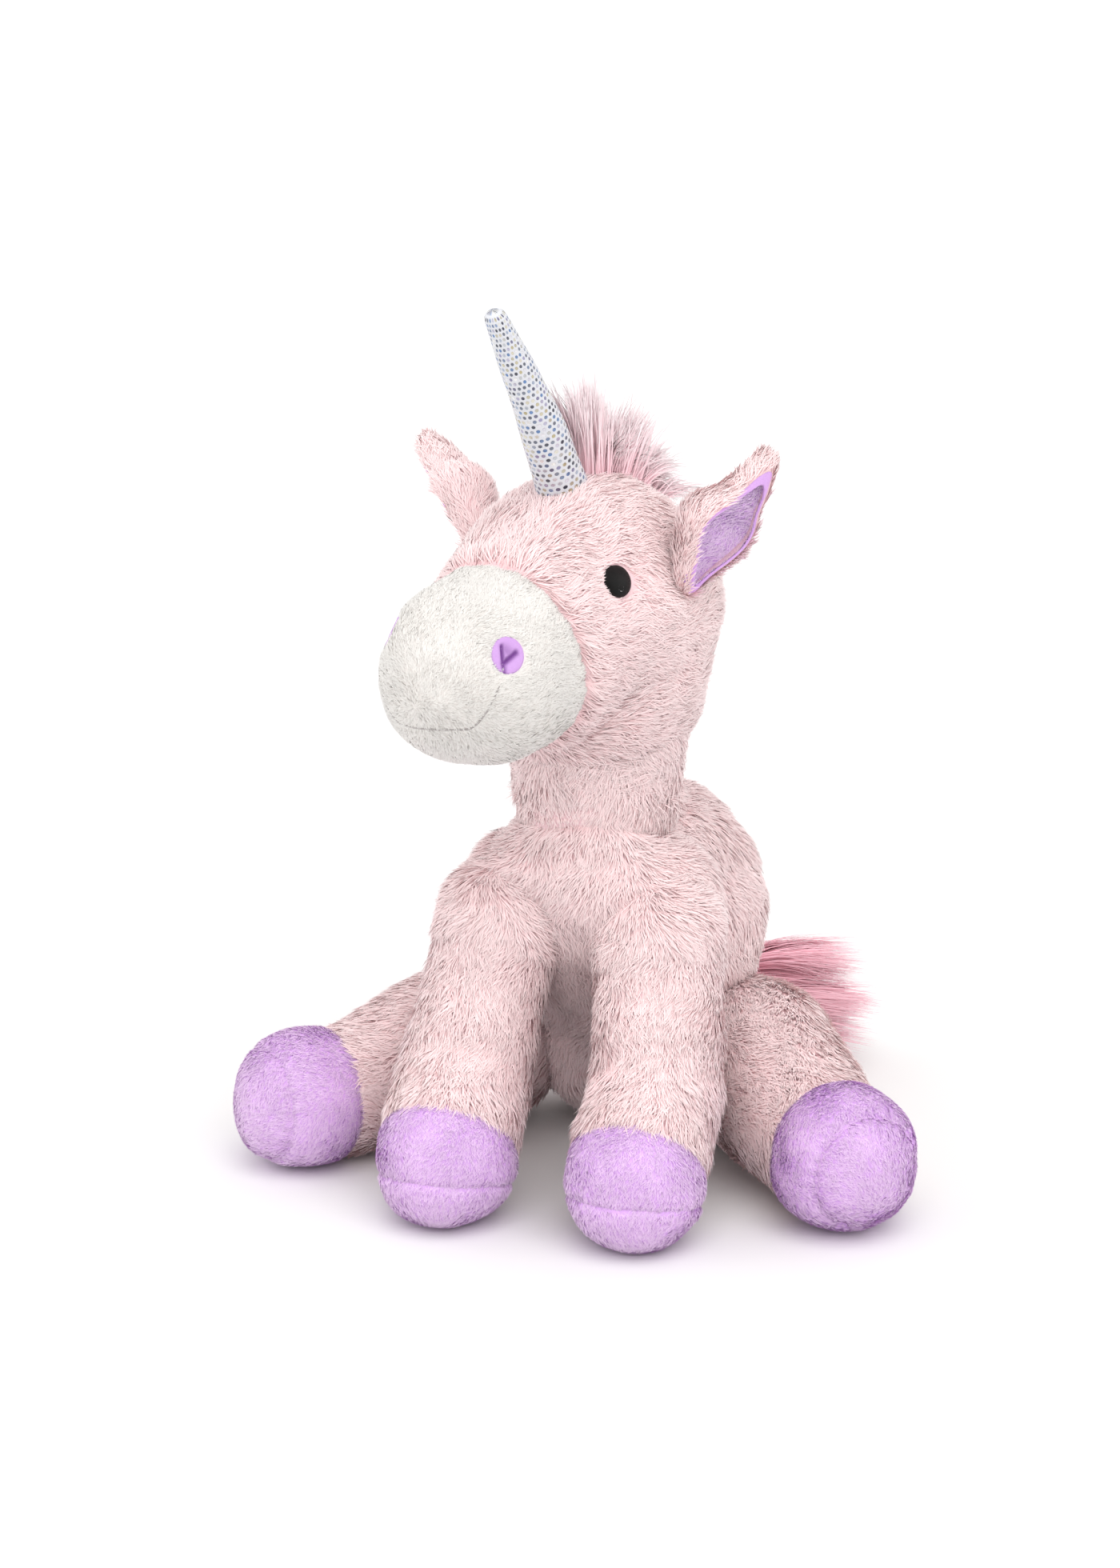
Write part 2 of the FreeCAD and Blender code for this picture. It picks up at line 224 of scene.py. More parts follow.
def remeshed(name: str, forms: Sequence[Capsule], voxel: float, rounds: int) -> bpy.types.Object:
    """One closed skin round overlapping forms, with its inner corners smoothed.

    Args:
        name: the object's name.
        forms: the capsules to join.
        voxel: the size of a face.
        rounds: how many times the corners are smoothed.

    Returns:
        The skin's object.
    """
    bm = bmesh.new()
    for form in forms:
        part = bmesh.new()
        form.hull(part)
        bmesh.ops.recalc_face_normals(part, faces=part.faces)
        piece = bpy.data.meshes.new("part")
        part.to_mesh(piece)
        part.free()
        bm.from_mesh(piece)
        bpy.data.meshes.remove(piece)
    obj = mesh_object(name, bm)
    remesh = obj.modifiers.new("voxels", "REMESH")
    remesh.mode = "VOXEL"
    remesh.voxel_size = voxel
    relax = obj.modifiers.new("corners", "SMOOTH")
    relax.factor = 0.5
    relax.iterations = rounds
    settle(obj)
    return obj


def subdivided(obj: bpy.types.Object, levels: int = 1) -> None:
    """Divides the mesh's faces, rounding it."""
    divide = obj.modifiers.new("divide", "SUBSURF")
    divide.levels = levels
    divide.render_levels = levels
    settle(obj)


def split(obj: bpy.types.Object, name: str, at: Array, outward: Array) -> bpy.types.Object:
    """Cuts a skin along a seam.

    Args:
        obj: the skin, which keeps the part behind the seam.
        name: the name of the part in front of it.
        at: a point on the seam's plane.
        outward: the plane's forward side.

    Returns:
        The part in front of the seam, as a new object.
    """
    parts = []
    for keep_outer in (False, True):
        bm = bmesh.new()
        bm.from_mesh(obj.data)
        geom = bm.verts[:] + bm.edges[:] + bm.faces[:]
        bmesh.ops.bisect_plane(
            bm,
            geom=geom,
            dist=1e-7,
            plane_co=Vector(at),
            plane_no=Vector(outward),
            clear_inner=keep_outer,
            clear_outer=not keep_outer,
        )
        parts.append(bm)
    parts[0].to_mesh(obj.data)
    parts[0].free()
    obj.data.polygons.foreach_set("use_smooth", np.ones(len(obj.data.polygons), bool))
    return mesh_object(name, parts[1])


@dataclass(frozen=True)
class Seam:
    """A sewn line where a plane meets the skin, held in while the cloth swells."""

    at: Array
    normal: Array
    depth: float = 0.8 * MM
    width: float = 2.2 * MM

    def pull(self, points: Array) -> Array:
        """How far each point is drawn in, from 0 to 1."""
        return np.exp(-((((points - self.at) @ self.normal) / self.width) ** 2))

    def draw(self, obj: bpy.types.Object, depth: float, seed: int) -> None:
        """Draws a thread through a filled skin: a narrow groove, with gathers that run out from it."""
        points, normals = points_of(obj), normals_of(obj)
        away = (points - self.at) @ self.normal
        spread = points - self.at - np.outer(away, self.normal)
        groove = depth * np.exp(-((away / (0.9 * MM)) ** 2))
        gathers = 0.35 * MM * waves(unit(spread), 0.14, seed) * np.exp(-((away / (4.5 * MM)) ** 2))
        set_points(obj, points - normals * (groove + gathers)[:, None])


@dataclass
class Padding:
    """Fills a skin out as cloth under pressure, between its seams."""

    pressure: float = 3.0
    frames: int = 14
    most: float = 2.5 * MM

    def fill(self, obj: bpy.types.Object, seams: Sequence[Seam], lumps: float, seed: int) -> None:
        """Runs the filling and leaves its result in the mesh.

        Args:
            obj: the skin, a closed mesh.
            seams: the lines that hold it in.
            lumps: the height of the stuffing's unevenness.
            seed: which unevenness.
        """
        rest = points_of(obj)
        normals = normals_of(obj)
        drawn = np.zeros(len(rest))
        for seam in seams:
            drawn = np.maximum(drawn, seam.pull(rest) * seam.depth)
        start = rest - normals * drawn[:, None]
        set_points(obj, start)
        self.simulate(obj, drawn)
        moved = points_of(obj) - start
        reach = np.linalg.norm(moved, axis=1)
        limit = self.most * np.tanh(reach / self.most) / np.maximum(reach, 1e-9)
        start = start + moved * limit[:, None]
        uneven = waves(start, 26 * MM, seed) * lumps + waves(start, 11 * MM, seed + 1) * lumps * 0.35
        set_points(obj, start + normals * uneven[:, None])

    def simulate(self, obj: bpy.types.Object, drawn: Array) -> None:
        """Runs Blender's cloth on the skin, with its seams pinned."""
        pins = obj.vertex_groups.new(name="pins")
        for i in np.nonzero(drawn > 0.3 * MM)[0]:
            pins.add([int(i)], 1.0, "REPLACE")
        cloth = obj.modifiers.new("filling", "CLOTH")
        settings = cloth.settings
        settings.quality = 4
        settings.mass = 0.15
        settings.tension_stiffness = 12
        settings.compression_stiffness = 6
        settings.bending_stiffness = 0.3
        settings.use_pressure = True
        settings.uniform_pressure_force = self.pressure
        settings.effector_weights.gravity = 0
        settings.vertex_group_mass = "pins"
        cloth.collision_settings.use_collision = False
        cloth.point_cache.frame_start = 1
        cloth.point_cache.frame_end = self.frames
        for frame in range(1, self.frames + 1):
            bpy.context.scene.frame_set(frame)
        settle(obj)
        bpy.context.scene.frame_set(1)
        obj.vertex_groups.clear()


def press_clear(obj: bpy.types.Object, forms: Iterable[Capsule], gap: float) -> None:
    """Dents a skin where a neighbour presses on it, and where the floor does."""
    points = points_of(obj)
    for form in forms:
        height, out = form.height(points)
        points += out * np.maximum(gap - height, 0)[:, None]
    points[:, 2] = np.maximum(points[:, 2], 0.2 * MM)
    set_points(obj, points)


# Materials


class Tree:
    """A short way to write a node tree."""

    def __init__(self, tree: bpy.types.NodeTree) -> None:
        """Starts with an empty tree."""
        self.tree = tree
        tree.nodes.clear()

    def add(self, kind: str, **values: object) -> bpy.types.Node:
        """Adds a node and sets its properties, or its sockets where the name ends in _."""
        node = self.tree.nodes.new(kind)
        for key, value in values.items():
            if key.endswith("_"):
                node.inputs[key[:-1].replace("__", " ")].default_value = value
            else:
                setattr(node, key, value)
        return node

    def link(self, start: bpy.types.NodeSocket, end: bpy.types.NodeSocket) -> None:
        """Joins two sockets."""
        self.tree.links.new(start, end)

    def sum(self, operation: str, *terms: object) -> bpy.types.NodeSocket:
        """A Math node's result for sockets or numbers."""
        node = self.tree.nodes.new("ShaderNodeMath")
        node.operation = operation
        for socket, term in zip(node.inputs, terms):
            if isinstance(term, (int, float)):
                socket.default_value = term
            else:
                self.link(term, socket)
        return node.outputs[0]

    def ramp(
        self, value: bpy.types.NodeSocket, stops: Sequence[tuple[float, Sequence[float]]]
    ) -> bpy.types.NodeSocket:
        """A colour for each value, through the given stops."""
        node = self.tree.nodes.new("ShaderNodeValToRGB")
        ramp = node.color_ramp
        while len(ramp.elements) < len(stops):
            ramp.elements.new(0.5)
        for element, (place, colour) in zip(ramp.elements, stops):
            element.position = place
            element.color = (*colour, 1)
        self.link(value, node.inputs[0])
        return node.outputs[0]

    def mix(self, share: object, a: object, b: object, blend: str = "MIX") -> bpy.types.NodeSocket:
        """A mix of two colours, each a socket or a triple."""
        node = self.tree.nodes.new("ShaderNodeMix")
        node.data_type = "RGBA"
        node.blend_type = blend
        for socket, term in zip((node.inputs[0], node.inputs[6], node.inputs[7]), (share, a, b)):
            if isinstance(term, (int, float)):
                socket.default_value = term
            elif isinstance(term, tuple):
                socket.default_value = (*term, 1)
            else:
                self.link(term, socket)
        return node.outputs[2]


def srgb(r: int, g: int, b: int) -> tuple[float, float, float]:
    """A colour given as a dyer's swatch, 0 to 255, for the shader."""
    return tuple((c / 255 / 12.92) if c <= 10 else ((c / 255 + 0.055) / 1.055) ** 2.4 for c in (r, g, b))


def scaled(colour: tuple[float, float, float], by: float) -> tuple[float, float, float]:
    """A lighter or darker colour."""
    return tuple(min(1.0, c * by) for c in colour)


def speckle_group() -> bpy.types.NodeTree:
    """The pile's colour, uneven in broad patches and fine flecks, as one factor round 1; it is darker where
    the fine flecks' height is low.
    """
    group = bpy.data.node_groups.new("pile unevenness", "ShaderNodeTree")
    for name, start in (("Patch Size", 60.0), ("Fleck Size", 900.0), ("Strength", 0.15)):
        socket = group.interface.new_socket(name, in_out="INPUT", socket_type="NodeSocketFloat")
        socket.default_value = start
    for name in ("Shade", "Height"):
        group.interface.new_socket(name, in_out="OUTPUT", socket_type="NodeSocketFloat")
    t = Tree(group)
    entry = t.add("NodeGroupInput")
    place = t.add("ShaderNodeTexCoord")
    values = []
    for size, detail in (("Patch Size", 2.0), ("Fleck Size", 3.0)):
        noise = t.add("ShaderNodeTexNoise", Detail_=detail, Roughness_=0.6)
        t.link(place.outputs["Object"], noise.inputs["Vector"])
        t.link(entry.outputs[size], noise.inputs["Scale"])
        values.append(noise.outputs["Fac"])
    both = t.sum("ADD", values[0], values[1])
    centred = t.sum("SUBTRACT", both, 1.0)
    shade = t.sum("ADD", t.sum("MULTIPLY", centred, entry.outputs["Strength"]), 1.0)
    leave = t.add("NodeGroupOutput")
    t.link(shade, leave.inputs["Shade"])
    t.link(values[1], leave.inputs["Height"])
    return group


@dataclass(frozen=True)
class Finish:
    """What every finish has: a name, the record's slot, and a way to make its material."""

    name: str
    slot: str

    def build(self, t: Tree, shader: bpy.types.Node) -> None:
        """Fills in the shader. Each finish has its own."""
        raise NotImplementedError

    def material(self) -> bpy.types.Material:
        """The finish's material, made once."""
        found = bpy.data.materials.get(self.name)
        if found:
            return found
        made = bpy.data.materials.new(self.name)
        made.use_nodes = True
        t = Tree(made.node_tree)
        leave = t.add("ShaderNodeOutputMaterial")
        shader = t.add("ShaderNodeBsdfPrincipled")
        t.link(shader.outputs[0], leave.inputs[0])
        self.build(t, shader)
        return made

    def dress(self, obj: bpy.types.Object) -> None:
        """Gives the piece this finish."""
        obj.data.materials.clear()
        obj.data.materials.append(self.material())


@dataclass(frozen=True)
class Strands(Finish):
    """Pile fibres, darker at the root as painted shade down in the pile and lighter towards the tip, each
    strand of its own tone.
    """

    # the colours at the root, half way and at the tip: the darker root is painted shade down in the pile
    root: tuple[float, float, float] = (0.5, 0.3, 0.3)
    middle: tuple[float, float, float] = (0.7, 0.5, 0.5)
    tip: tuple[float, float, float] = (0.9, 0.8, 0.8)
    spread: float = 0.12
    sheen: float = 0.35
    rough: float = 0.72

    def build(self, t: Tree, shader: bpy.types.Node) -> None:
        """Colours the strand by its own map: across is its tone, up is its length, along which the colour
        darkens to the root as painted shade.
        """
        where = t.add("ShaderNodeAttribute", attribute_name="pile")
        parts = t.add("ShaderNodeSeparateColor")
        t.link(where.outputs["Color"], parts.inputs[0])
        # painted shade: the colour darkens towards the strand's root
        colour = t.ramp(parts.outputs[0], ((0.0, self.root), (0.42, self.middle), (1.0, self.tip)))
        low, high = 1 - self.spread, 1 + self.spread
        shade = t.ramp(parts.outputs[1], ((0.0, (low,) * 3), (1.0, (min(high, 1.0),) * 3)))
        t.link(t.mix(1.0, colour, shade, "MULTIPLY"), shader.inputs["Base Color"])
        shader.inputs["Roughness"].default_value = self.rough
        shader.inputs["Specular IOR Level"].default_value = 0.25
        shader.inputs["Sheen Weight"].default_value = self.sheen
        shader.inputs["Sheen Roughness"].default_value = 0.5
        shader.inputs["Sheen Tint"].default_value = (*scaled(self.tip, 1.1), 1)
        self.light_undersides(t, shader)

    def light_undersides(self, t: Tree, shader: bpy.types.Node) -> None:
        """Lights a strand's underside by the way it truly faces."""
        surface = t.add("ShaderNodeNewGeometry")
        facing = t.add("ShaderNodeMix", data_type="VECTOR")
        t.link(surface.outputs["Backfacing"], facing.inputs[0])
        t.link(surface.outputs["Normal"], facing.inputs[4])
        t.link(surface.outputs["True Normal"], facing.inputs[5])
        t.link(facing.outputs[1], shader.inputs["Normal"])


@dataclass(frozen=True)
class Plush(Finish):
    """Short-pile cloth: soft, matt, paler where it turns away."""

    colour: tuple[float, float, float] = (0.7, 0.5, 0.8)
    deep: tuple[float, float, float] = (0.5, 0.3, 0.6)
    fleck: float = 1300.0
    strength: float = 0.3
    bump: float = 0.35
    sheen: float = 0.5

    def build(self, t: Tree, shader: bpy.types.Node) -> None:
        """Flecks the colour and roughs the surface with the pile."""
        group = bpy.data.node_groups.get("pile unevenness") or speckle_group()
        uneven = t.add("ShaderNodeGroup", node_tree=group)
        uneven.inputs["Patch Size"].default_value = 90.0
        uneven.inputs["Fleck Size"].default_value = self.fleck
        uneven.inputs["Strength"].default_value = self.strength
        shade = t.sum("SUBTRACT", uneven.outputs["Shade"], 0.5)
        t.link(t.mix(shade, self.deep, self.colour), shader.inputs["Base Color"])
        bump = t.add("ShaderNodeBump", Strength_=self.bump, Distance_=0.0006)
        t.link(uneven.outputs["Height"], bump.inputs["Height"])
        t.link(bump.outputs[0], shader.inputs["Normal"])
        shader.inputs["Roughness"].default_value = 0.85
        shader.inputs["Specular IOR Level"].default_value = 0.2
        shader.inputs["Sheen Weight"].default_value = self.sheen
        shader.inputs["Sheen Roughness"].default_value = 0.45
        shader.inputs["Sheen Tint"].default_value = (*scaled(self.colour, 1.3), 1)


@dataclass(frozen=True)
class FoldedPlush(Plush):
    """Short-pile cloth with a fold, with painted shade down in it."""

    # the colour of the painted shade down in the fold
    crease: tuple[float, float, float] = (0.2, 0.1, 0.25)

    def build(self, t: Tree, shader: bpy.types.Node) -> None:
        """Darkens the cloth where the piece's own fold runs, as painted shade."""
        super().build(t, shader)
        cloth = shader.inputs["Base Color"].links[0].from_socket
        fold = t.add("ShaderNodeAttribute", attribute_name="fold")
        t.link(t.mix(fold.outputs["Fac"], cloth, self.crease), shader.inputs["Base Color"])


@dataclass(frozen=True)
class Spangle(Finish):
    """Silver cloth with rows of round foil dots, each of its own colour: the foil's tints, with painted
    reflection in the spread from dark to white.
    """

    def build(self, t: Tree, shader: bpy.types.Node) -> None:
        """Lays staggered rows of dots on the piece's own map, each with its own colour, dark to white as
        painted reflection.
        """
        place = t.add("ShaderNodeUVMap", uv_map="rows")
        parts = t.add("ShaderNodeSeparateXYZ")
        t.link(place.outputs[0], parts.inputs[0])
        row = t.sum("FLOOR", parts.outputs[1])
        shift = t.sum("MULTIPLY", t.sum("MODULO", row, 2.0), 0.5)
        u = t.sum("ADD", parts.outputs[0], shift)
        du = t.sum("SUBTRACT", t.sum("FRACT", u), 0.5)
        dv = t.sum("SUBTRACT", t.sum("FRACT", parts.outputs[1]), 0.5)
        reach = t.sum("SQRT", t.sum("ADD", t.sum("MULTIPLY", du, du), t.sum("MULTIPLY", dv, dv)))
        edge = t.sum("MULTIPLY", t.sum("SUBTRACT", 0.36, reach), 14.0)
        dot = t.sum("MINIMUM", t.sum("MAXIMUM", edge, 0.0), 1.0)
        cell = t.add("ShaderNodeCombineXYZ")
        t.link(t.sum("FLOOR", u), cell.inputs[0])
        t.link(row, cell.inputs[1])
        noise = t.add("ShaderNodeTexWhiteNoise", noise_dimensions="2D")
        t.link(cell.outputs[0], noise.inputs["Vector"])
        # each dot's colour: the foil's own tints, and painted reflection in how dark or white each dot is
        stops = (
            (0.0, srgb(84, 86, 96)),
            (0.2, srgb(136, 142, 156)),
            (0.34, srgb(104, 136, 184)),
            (0.46, srgb(190, 194, 200)),
            (0.58, srgb(186, 176, 140)),
            (0.72, srgb(238, 238, 238)),
            (0.88, srgb(160, 156, 188)),
            (1.0, srgb(60, 64, 74)),
        )
        foil = t.ramp(noise.outputs["Value"], stops)
        t.link(t.mix(dot, srgb(214, 216, 222), foil), shader.inputs["Base Color"])
        t.link(t.sum("MULTIPLY", dot, 0.75), shader.inputs["Metallic"])
        t.link(t.sum("SUBTRACT", 0.62, t.sum("MULTIPLY", dot, 0.36)), shader.inputs["Roughness"])
        bump = t.add("ShaderNodeBump", Strength_=0.5, Distance_=0.0002)
        t.link(dot, bump.inputs["Height"])
        t.link(bump.outputs[0], shader.inputs["Normal"])
        shader.inputs["Sheen Weight"].default_value = 0.15


@dataclass(frozen=True)
class Stitched(Finish):
    """Satin stitch: fine parallel threads, with painted shade between them."""

    colour: tuple[float, float, float] = (0.01, 0.01, 0.01)
    scale: float = 1500.0
    sheen: float = 0.2
    gloss: float = 0.5

    def build(self, t: Tree, shader: bpy.types.Node) -> None:
        """Ribs the surface with threads and paints shade in the grooves between them."""
        place = t.add("ShaderNodeTexCoord")
        wave = t.add("ShaderNodeTexWave", Scale_=self.scale, Distortion_=1.0, Detail_=1.0)
        t.link(place.outputs["Object"], wave.inputs["Vector"])
        # painted shade: the colour falls to six tenths down between the threads
        t.link(t.mix(wave.outputs["Fac"], scaled(self.colour, 0.6), self.colour), shader.inputs["Base Color"])
        bump = t.add("ShaderNodeBump", Strength_=0.5, Distance_=0.0003)
        t.link(wave.outputs["Fac"], bump.inputs["Height"])
        t.link(bump.outputs[0], shader.inputs["Normal"])
        shader.inputs["Roughness"].default_value = 0.42
        shader.inputs["Specular IOR Level"].default_value = self.gloss
        shader.inputs["Sheen Weight"].default_value = self.sheen


# Each pile's root colour is darker than its tip: painted shade down in the pile and between its locks.
PINK_FUR = Strands(
    "pale pink fur",
    "pink_fur",
    root=srgb(250, 210, 212),
    middle=srgb(255, 226, 227),
    tip=srgb(255, 239, 239),
    spread=0.04,
)
PINK_BACKING = Plush("pink backing", "pink_fur", colour=srgb(244, 212, 216), deep=srgb(230, 194, 200))
CREAM_PLUSH = Plush("cream plush", "cream_plush", colour=srgb(243, 240, 236), deep=srgb(214, 206, 202))
PURPLE_PLUSH = Plush("lavender plush", "purple_plush", colour=srgb(228, 186, 242), deep=srgb(210, 160, 230))
NOSTRIL_PLUSH = FoldedPlush(
    "nostril plush",
    "purple_plush",
    colour=srgb(214, 176, 230),
    deep=srgb(188, 140, 208),
    # painted shade down in the nostril's fold
    crease=srgb(116, 66, 140),
    sheen=0.2,
)
LAVENDER_PILE = Strands(
    "lavender pile",
    "purple_plush",
    root=srgb(226, 180, 238),
    middle=srgb(238, 200, 247),
    tip=srgb(252, 228, 255),
    spread=0.07,
    sheen=0.9,
)
# A lighter copy of the lavender pile: painted light, to offset the shade down in the ear's trough.
EAR_LINING_PILE_PAINTED_LIGHTER = Strands(
    "ear lining pile",
    "purple_plush",
    root=srgb(240, 204, 254),
    middle=srgb(248, 218, 255),
    tip=srgb(252, 232, 255),
    spread=0.05,
    sheen=0.9,
)
CREAM_PILE = Strands(
    "cream pile",
    "cream_plush",
    root=srgb(234, 230, 226),
    middle=srgb(243, 240, 236),
    tip=srgb(248, 246, 243),
    spread=0.05,
)
MANE_HAIR = Strands(
    "mane hair",
    "pink_hair",
    root=srgb(252, 206, 216),
    middle=srgb(255, 224, 230),
    tip=srgb(255, 246, 248),
    spread=0.08,
)
TAIL_HAIR = Strands(
    "tail hair",
    "rose_hair",
    root=srgb(244, 150, 174),
    middle=srgb(252, 178, 196),
    tip=srgb(255, 214, 224),
    spread=0.16,
)
HORN_CLOTH = Spangle("spangled cloth", "spangled_fabric")
EYE_THREAD = Stitched("black satin stitch", "black_embroidery", (0.003, 0.003, 0.003), sheen=0.0, gloss=0.25)
GLINT_THREAD = Stitched("white satin stitch", "white_thread", colour=(0.9, 0.9, 0.9))
MOUTH_THREAD = Stitched("mouth stitch", "grey_thread", colour=srgb(196, 188, 186))
TAPE = Plush("woven tape", "cotton_tape", colour=srgb(230, 184, 190), deep=srgb(200, 150, 158))


# Fur

BLADE_TAPER = (1.0, 0.85, 0.0)  # a strand's share of its width at its root, half way up and at its point


class Blade:
    """One fibre of pile: a strip two faces long that ends in a point, made flat once."""

    def __init__(self, steps: int) -> None:
        """Makes the strip with the given number of steps from root to tip."""
        bm = bmesh.new()
        bmesh.ops.create_grid(bm, x_segments=1, y_segments=steps, size=1.0)
        tips = [v for v in bm.verts if v.co.y > 0.999]
        bmesh.ops.pointmerge(bm, verts=tips, merge_co=Vector((0, 1, 0)))
        bm.verts.index_update()
        flat = np.array([v.co[:2] for v in bm.verts])
        self.side = flat[:, 0]
        self.along = (flat[:, 1] + 1) / 2
        self.faces = [[v.index for v in f.verts] for f in bm.faces]
        bm.free()


@dataclass(frozen=True)
class Fur:
    """Pile planted strand by strand on a skin."""

    length: float = 7.5 * MM
    width: float = 0.48 * MM
    density: float = 2.6  # strands per square millimetre
    lift: float = 0.36  # how steeply it stands, 0 flat to 1 upright
    droop: float = 0.75
    lock: float = 4.0 * MM  # size of the locks it gathers in
    gather: float = 0.5
    stray: float = 0.35
    steps: int = 2
    soften: float = 0.88  # how far a strand takes its light from the skin below it

    def roots(self, skin: bpy.types.Object, rng: np.random.Generator) -> tuple[Array, Array]:
        """Points spread evenly over a skin, and the skin's normals there."""
        mesh = skin.data
        mesh.calc_loop_triangles()
        corners = np.empty(len(mesh.loop_triangles) * 3, np.int32)
        mesh.loop_triangles.foreach_get("vertices", corners)
        corners = corners.reshape(-1, 3)
        points, normals = points_of(skin), normals_of(skin)
        a, b, c = (points[corners[:, i]] for i in range(3))
        area = np.linalg.norm(np.cross(b - a, c - a), axis=1) / 2
        thin = 1.0
        count = int(area.sum() / MM**2 * self.density * thin)
        pick = np.searchsorted(np.cumsum(area), rng.random(count) * area.sum()).clip(0, len(area) - 1)
        u, v = rng.random(count), rng.random(count)
        flip = u + v > 1
        u[flip], v[flip] = 1 - u[flip], 1 - v[flip]
        share = np.stack((1 - u - v, u, v), axis=1)[:, :, None]
        tri = corners[pick]
        return (points[tri] * share).sum(1), unit((normals[tri] * share).sum(1))

    def plant(
        self,
        name: str,
        skin: bpy.types.Object,
        comb: Callable[[Array], Array],
        keep: Callable[[Array], Array],
        seed: int,
        scale: Callable[[Array], Array] | None = None,
    ) -> bpy.types.Object:
        """Plants the pile.

        Args:
            name: the new piece's name.
            skin: the mesh it grows from.
            comb: the way the pile is brushed at each point.
            keep: whether a strand grows at each point.
            seed: which arrangement.
            scale: each strand's share of the full length, where it isn't all one.

        Returns:
            The pile, as one mesh.
        """
        rng = np.random.default_rng(seed)
        root, normal = self.roots(skin, rng)
        here = keep(root)
        root, normal = root[here], normal[here]
        count = len(root)
        way = across(comb(root) + 0.001, normal)
        beside = np.cross(way, normal)
        swirl = (0.45 * waves(root, 16 * MM, seed) + 0.3 * waves(root, 6 * MM, seed + 3))[:, None]
        way = unit(way + beside * (swirl + rng.normal(0, self.stray, (count, 1))))
        beside = np.cross(way, normal)
        length = self.length * rng.uniform(0.7, 1.15, count)
        if scale is not None:
            length = length * scale(root)
        lift = self.lift * (1 + 0.35 * waves(root, 9 * MM, seed + 5)) + rng.normal(0, 0.08, count)
        lift = np.clip(lift, 0.12, 0.95)[:, None, None]
        drift = np.stack([waves(root, 3 * self.lock, seed + 7 + i) for i in range(3)], 1)
        cells = np.floor((root + 0.3 * self.lock * drift) / self.lock).astype(np.int64)
        _, lock = np.unique(cells, axis=0, return_inverse=True)
        lock = lock.ravel()
        members = np.bincount(lock)
        middle = np.stack([np.bincount(lock, root[:, i]) / members for i in range(3)], 1)[lock]
        own = 0.22 * rng.normal(size=count)
        shared = 0.2 * np.random.default_rng(seed + 1).normal(size=len(members))[lock]
        tone = np.clip(0.5 + own + shared, 0, 1)
        blade = Blade(self.steps)
        s = blade.along[None, :, None]
        rise = lift * (s - self.droop * 0.5 * s**2)
        run = np.sqrt(1 - np.minimum(lift, 0.95) ** 2) * s + self.droop * 0.25 * lift * s**2
        growth = normal[:, None] * rise[:, :, 0:1] + way[:, None] * run
        spine = root[:, None] + length[:, None, None] * growth
        spine += (middle - root)[:, None] * self.gather * s**1.5
        roll = rng.normal(0, 0.5, (count, 1))
        blade_side = unit(beside * np.cos(roll) + normal * np.sin(roll))
        taper = np.array(BLADE_TAPER)[np.round(blade.along * self.steps).astype(int)]
        offset = blade.side * taper * self.width / 2 * np.where(blade.along > 0.999, 0, 1)
        points = spine + blade_side[:, None] * offset[None, :, None]
        points[:, :, 2] = np.maximum(points[:, :, 2], 0.2 * MM)
        facing = unit(np.cross(blade_side, way))
        light = unit(self.soften * normal + (1 - self.soften) * facing + 0.1 * way)
        return strip_mesh(name, blade, points, light, tone)


def strip_mesh(name: str, blade: Blade, points: Array, light: Array, tone: Array) -> bpy.types.Object:
    """One mesh of many blades.

    Args:
        name: the object's name.
        blade: the fibre they all copy.
        points: each blade's points, blade by blade.
        light: the direction each blade faces for the light.
        tone: each blade's shade, 0 to 1.

    Returns:
        The object, with its shade and length in the attribute and map that the finish reads.
    """
    count, per = points.shape[:2]
    sizes = np.array([len(f) for f in blade.faces])
    flat = np.concatenate(blade.faces)
    corners = (np.arange(count)[:, None] * per + flat[None]).ravel()
    mesh = bpy.data.meshes.new(name)
    mesh.vertices.add(count * per)
    mesh.vertices.foreach_set("co", points.astype(np.float32).ravel())
    mesh.loops.add(len(corners))
    mesh.loops.foreach_set("vertex_index", corners.astype(np.int32))
    starts = np.concatenate(([0], np.cumsum(np.tile(sizes, count))[:-1]))
    mesh.polygons.add(count * len(sizes))
    mesh.polygons.foreach_set("loop_start", starts.astype(np.int32))
    mesh.update(calc_edges=True)
    obj = stand(name, mesh)
    colour = np.ones((count, per, 4), np.float32)
    # how far up the strand each point lies: the finish darkens the colour towards the root with it, as
    # painted shade
    colour[:, :, 0] = blade.along
    colour[:, :, 1] = tone[:, None]
    colour[:, :, 2] = 0
    pile = mesh.attributes.new("pile", "FLOAT_COLOR", "POINT")
    pile.data.foreach_set("color", colour.ravel())
    chart = np.stack(
        (
            0.01 + 0.98 * np.broadcast_to(tone[:, None], (count, per)) + 0.003 * blade.side,
            0.01 + 0.98 * np.broadcast_to(blade.along, (count, per)),
        ),
        -1,
    ).reshape(-1, 2)
    layer = mesh.uv_layers.new(name="OFBake")
    layer.data.foreach_set("uv", chart[corners].astype(np.float32).ravel())
    mesh.normals_split_custom_set_from_vertices(np.repeat(light, per, axis=0))
    return obj


LONG_PILE = Fur()
LEG_PILE = Fur(length=7.0 * MM)
EAR_PILE = Fur(length=6.0 * MM, density=3.2, lift=0.35)
VELVET = Fur(
    length=2.2 * MM,
    width=0.42 * MM,
    density=4.5,
    lift=0.45,
    lock=2.2 * MM,
    gather=0.25,
    stray=0.6,
    steps=1,
)


# The frame's own measures


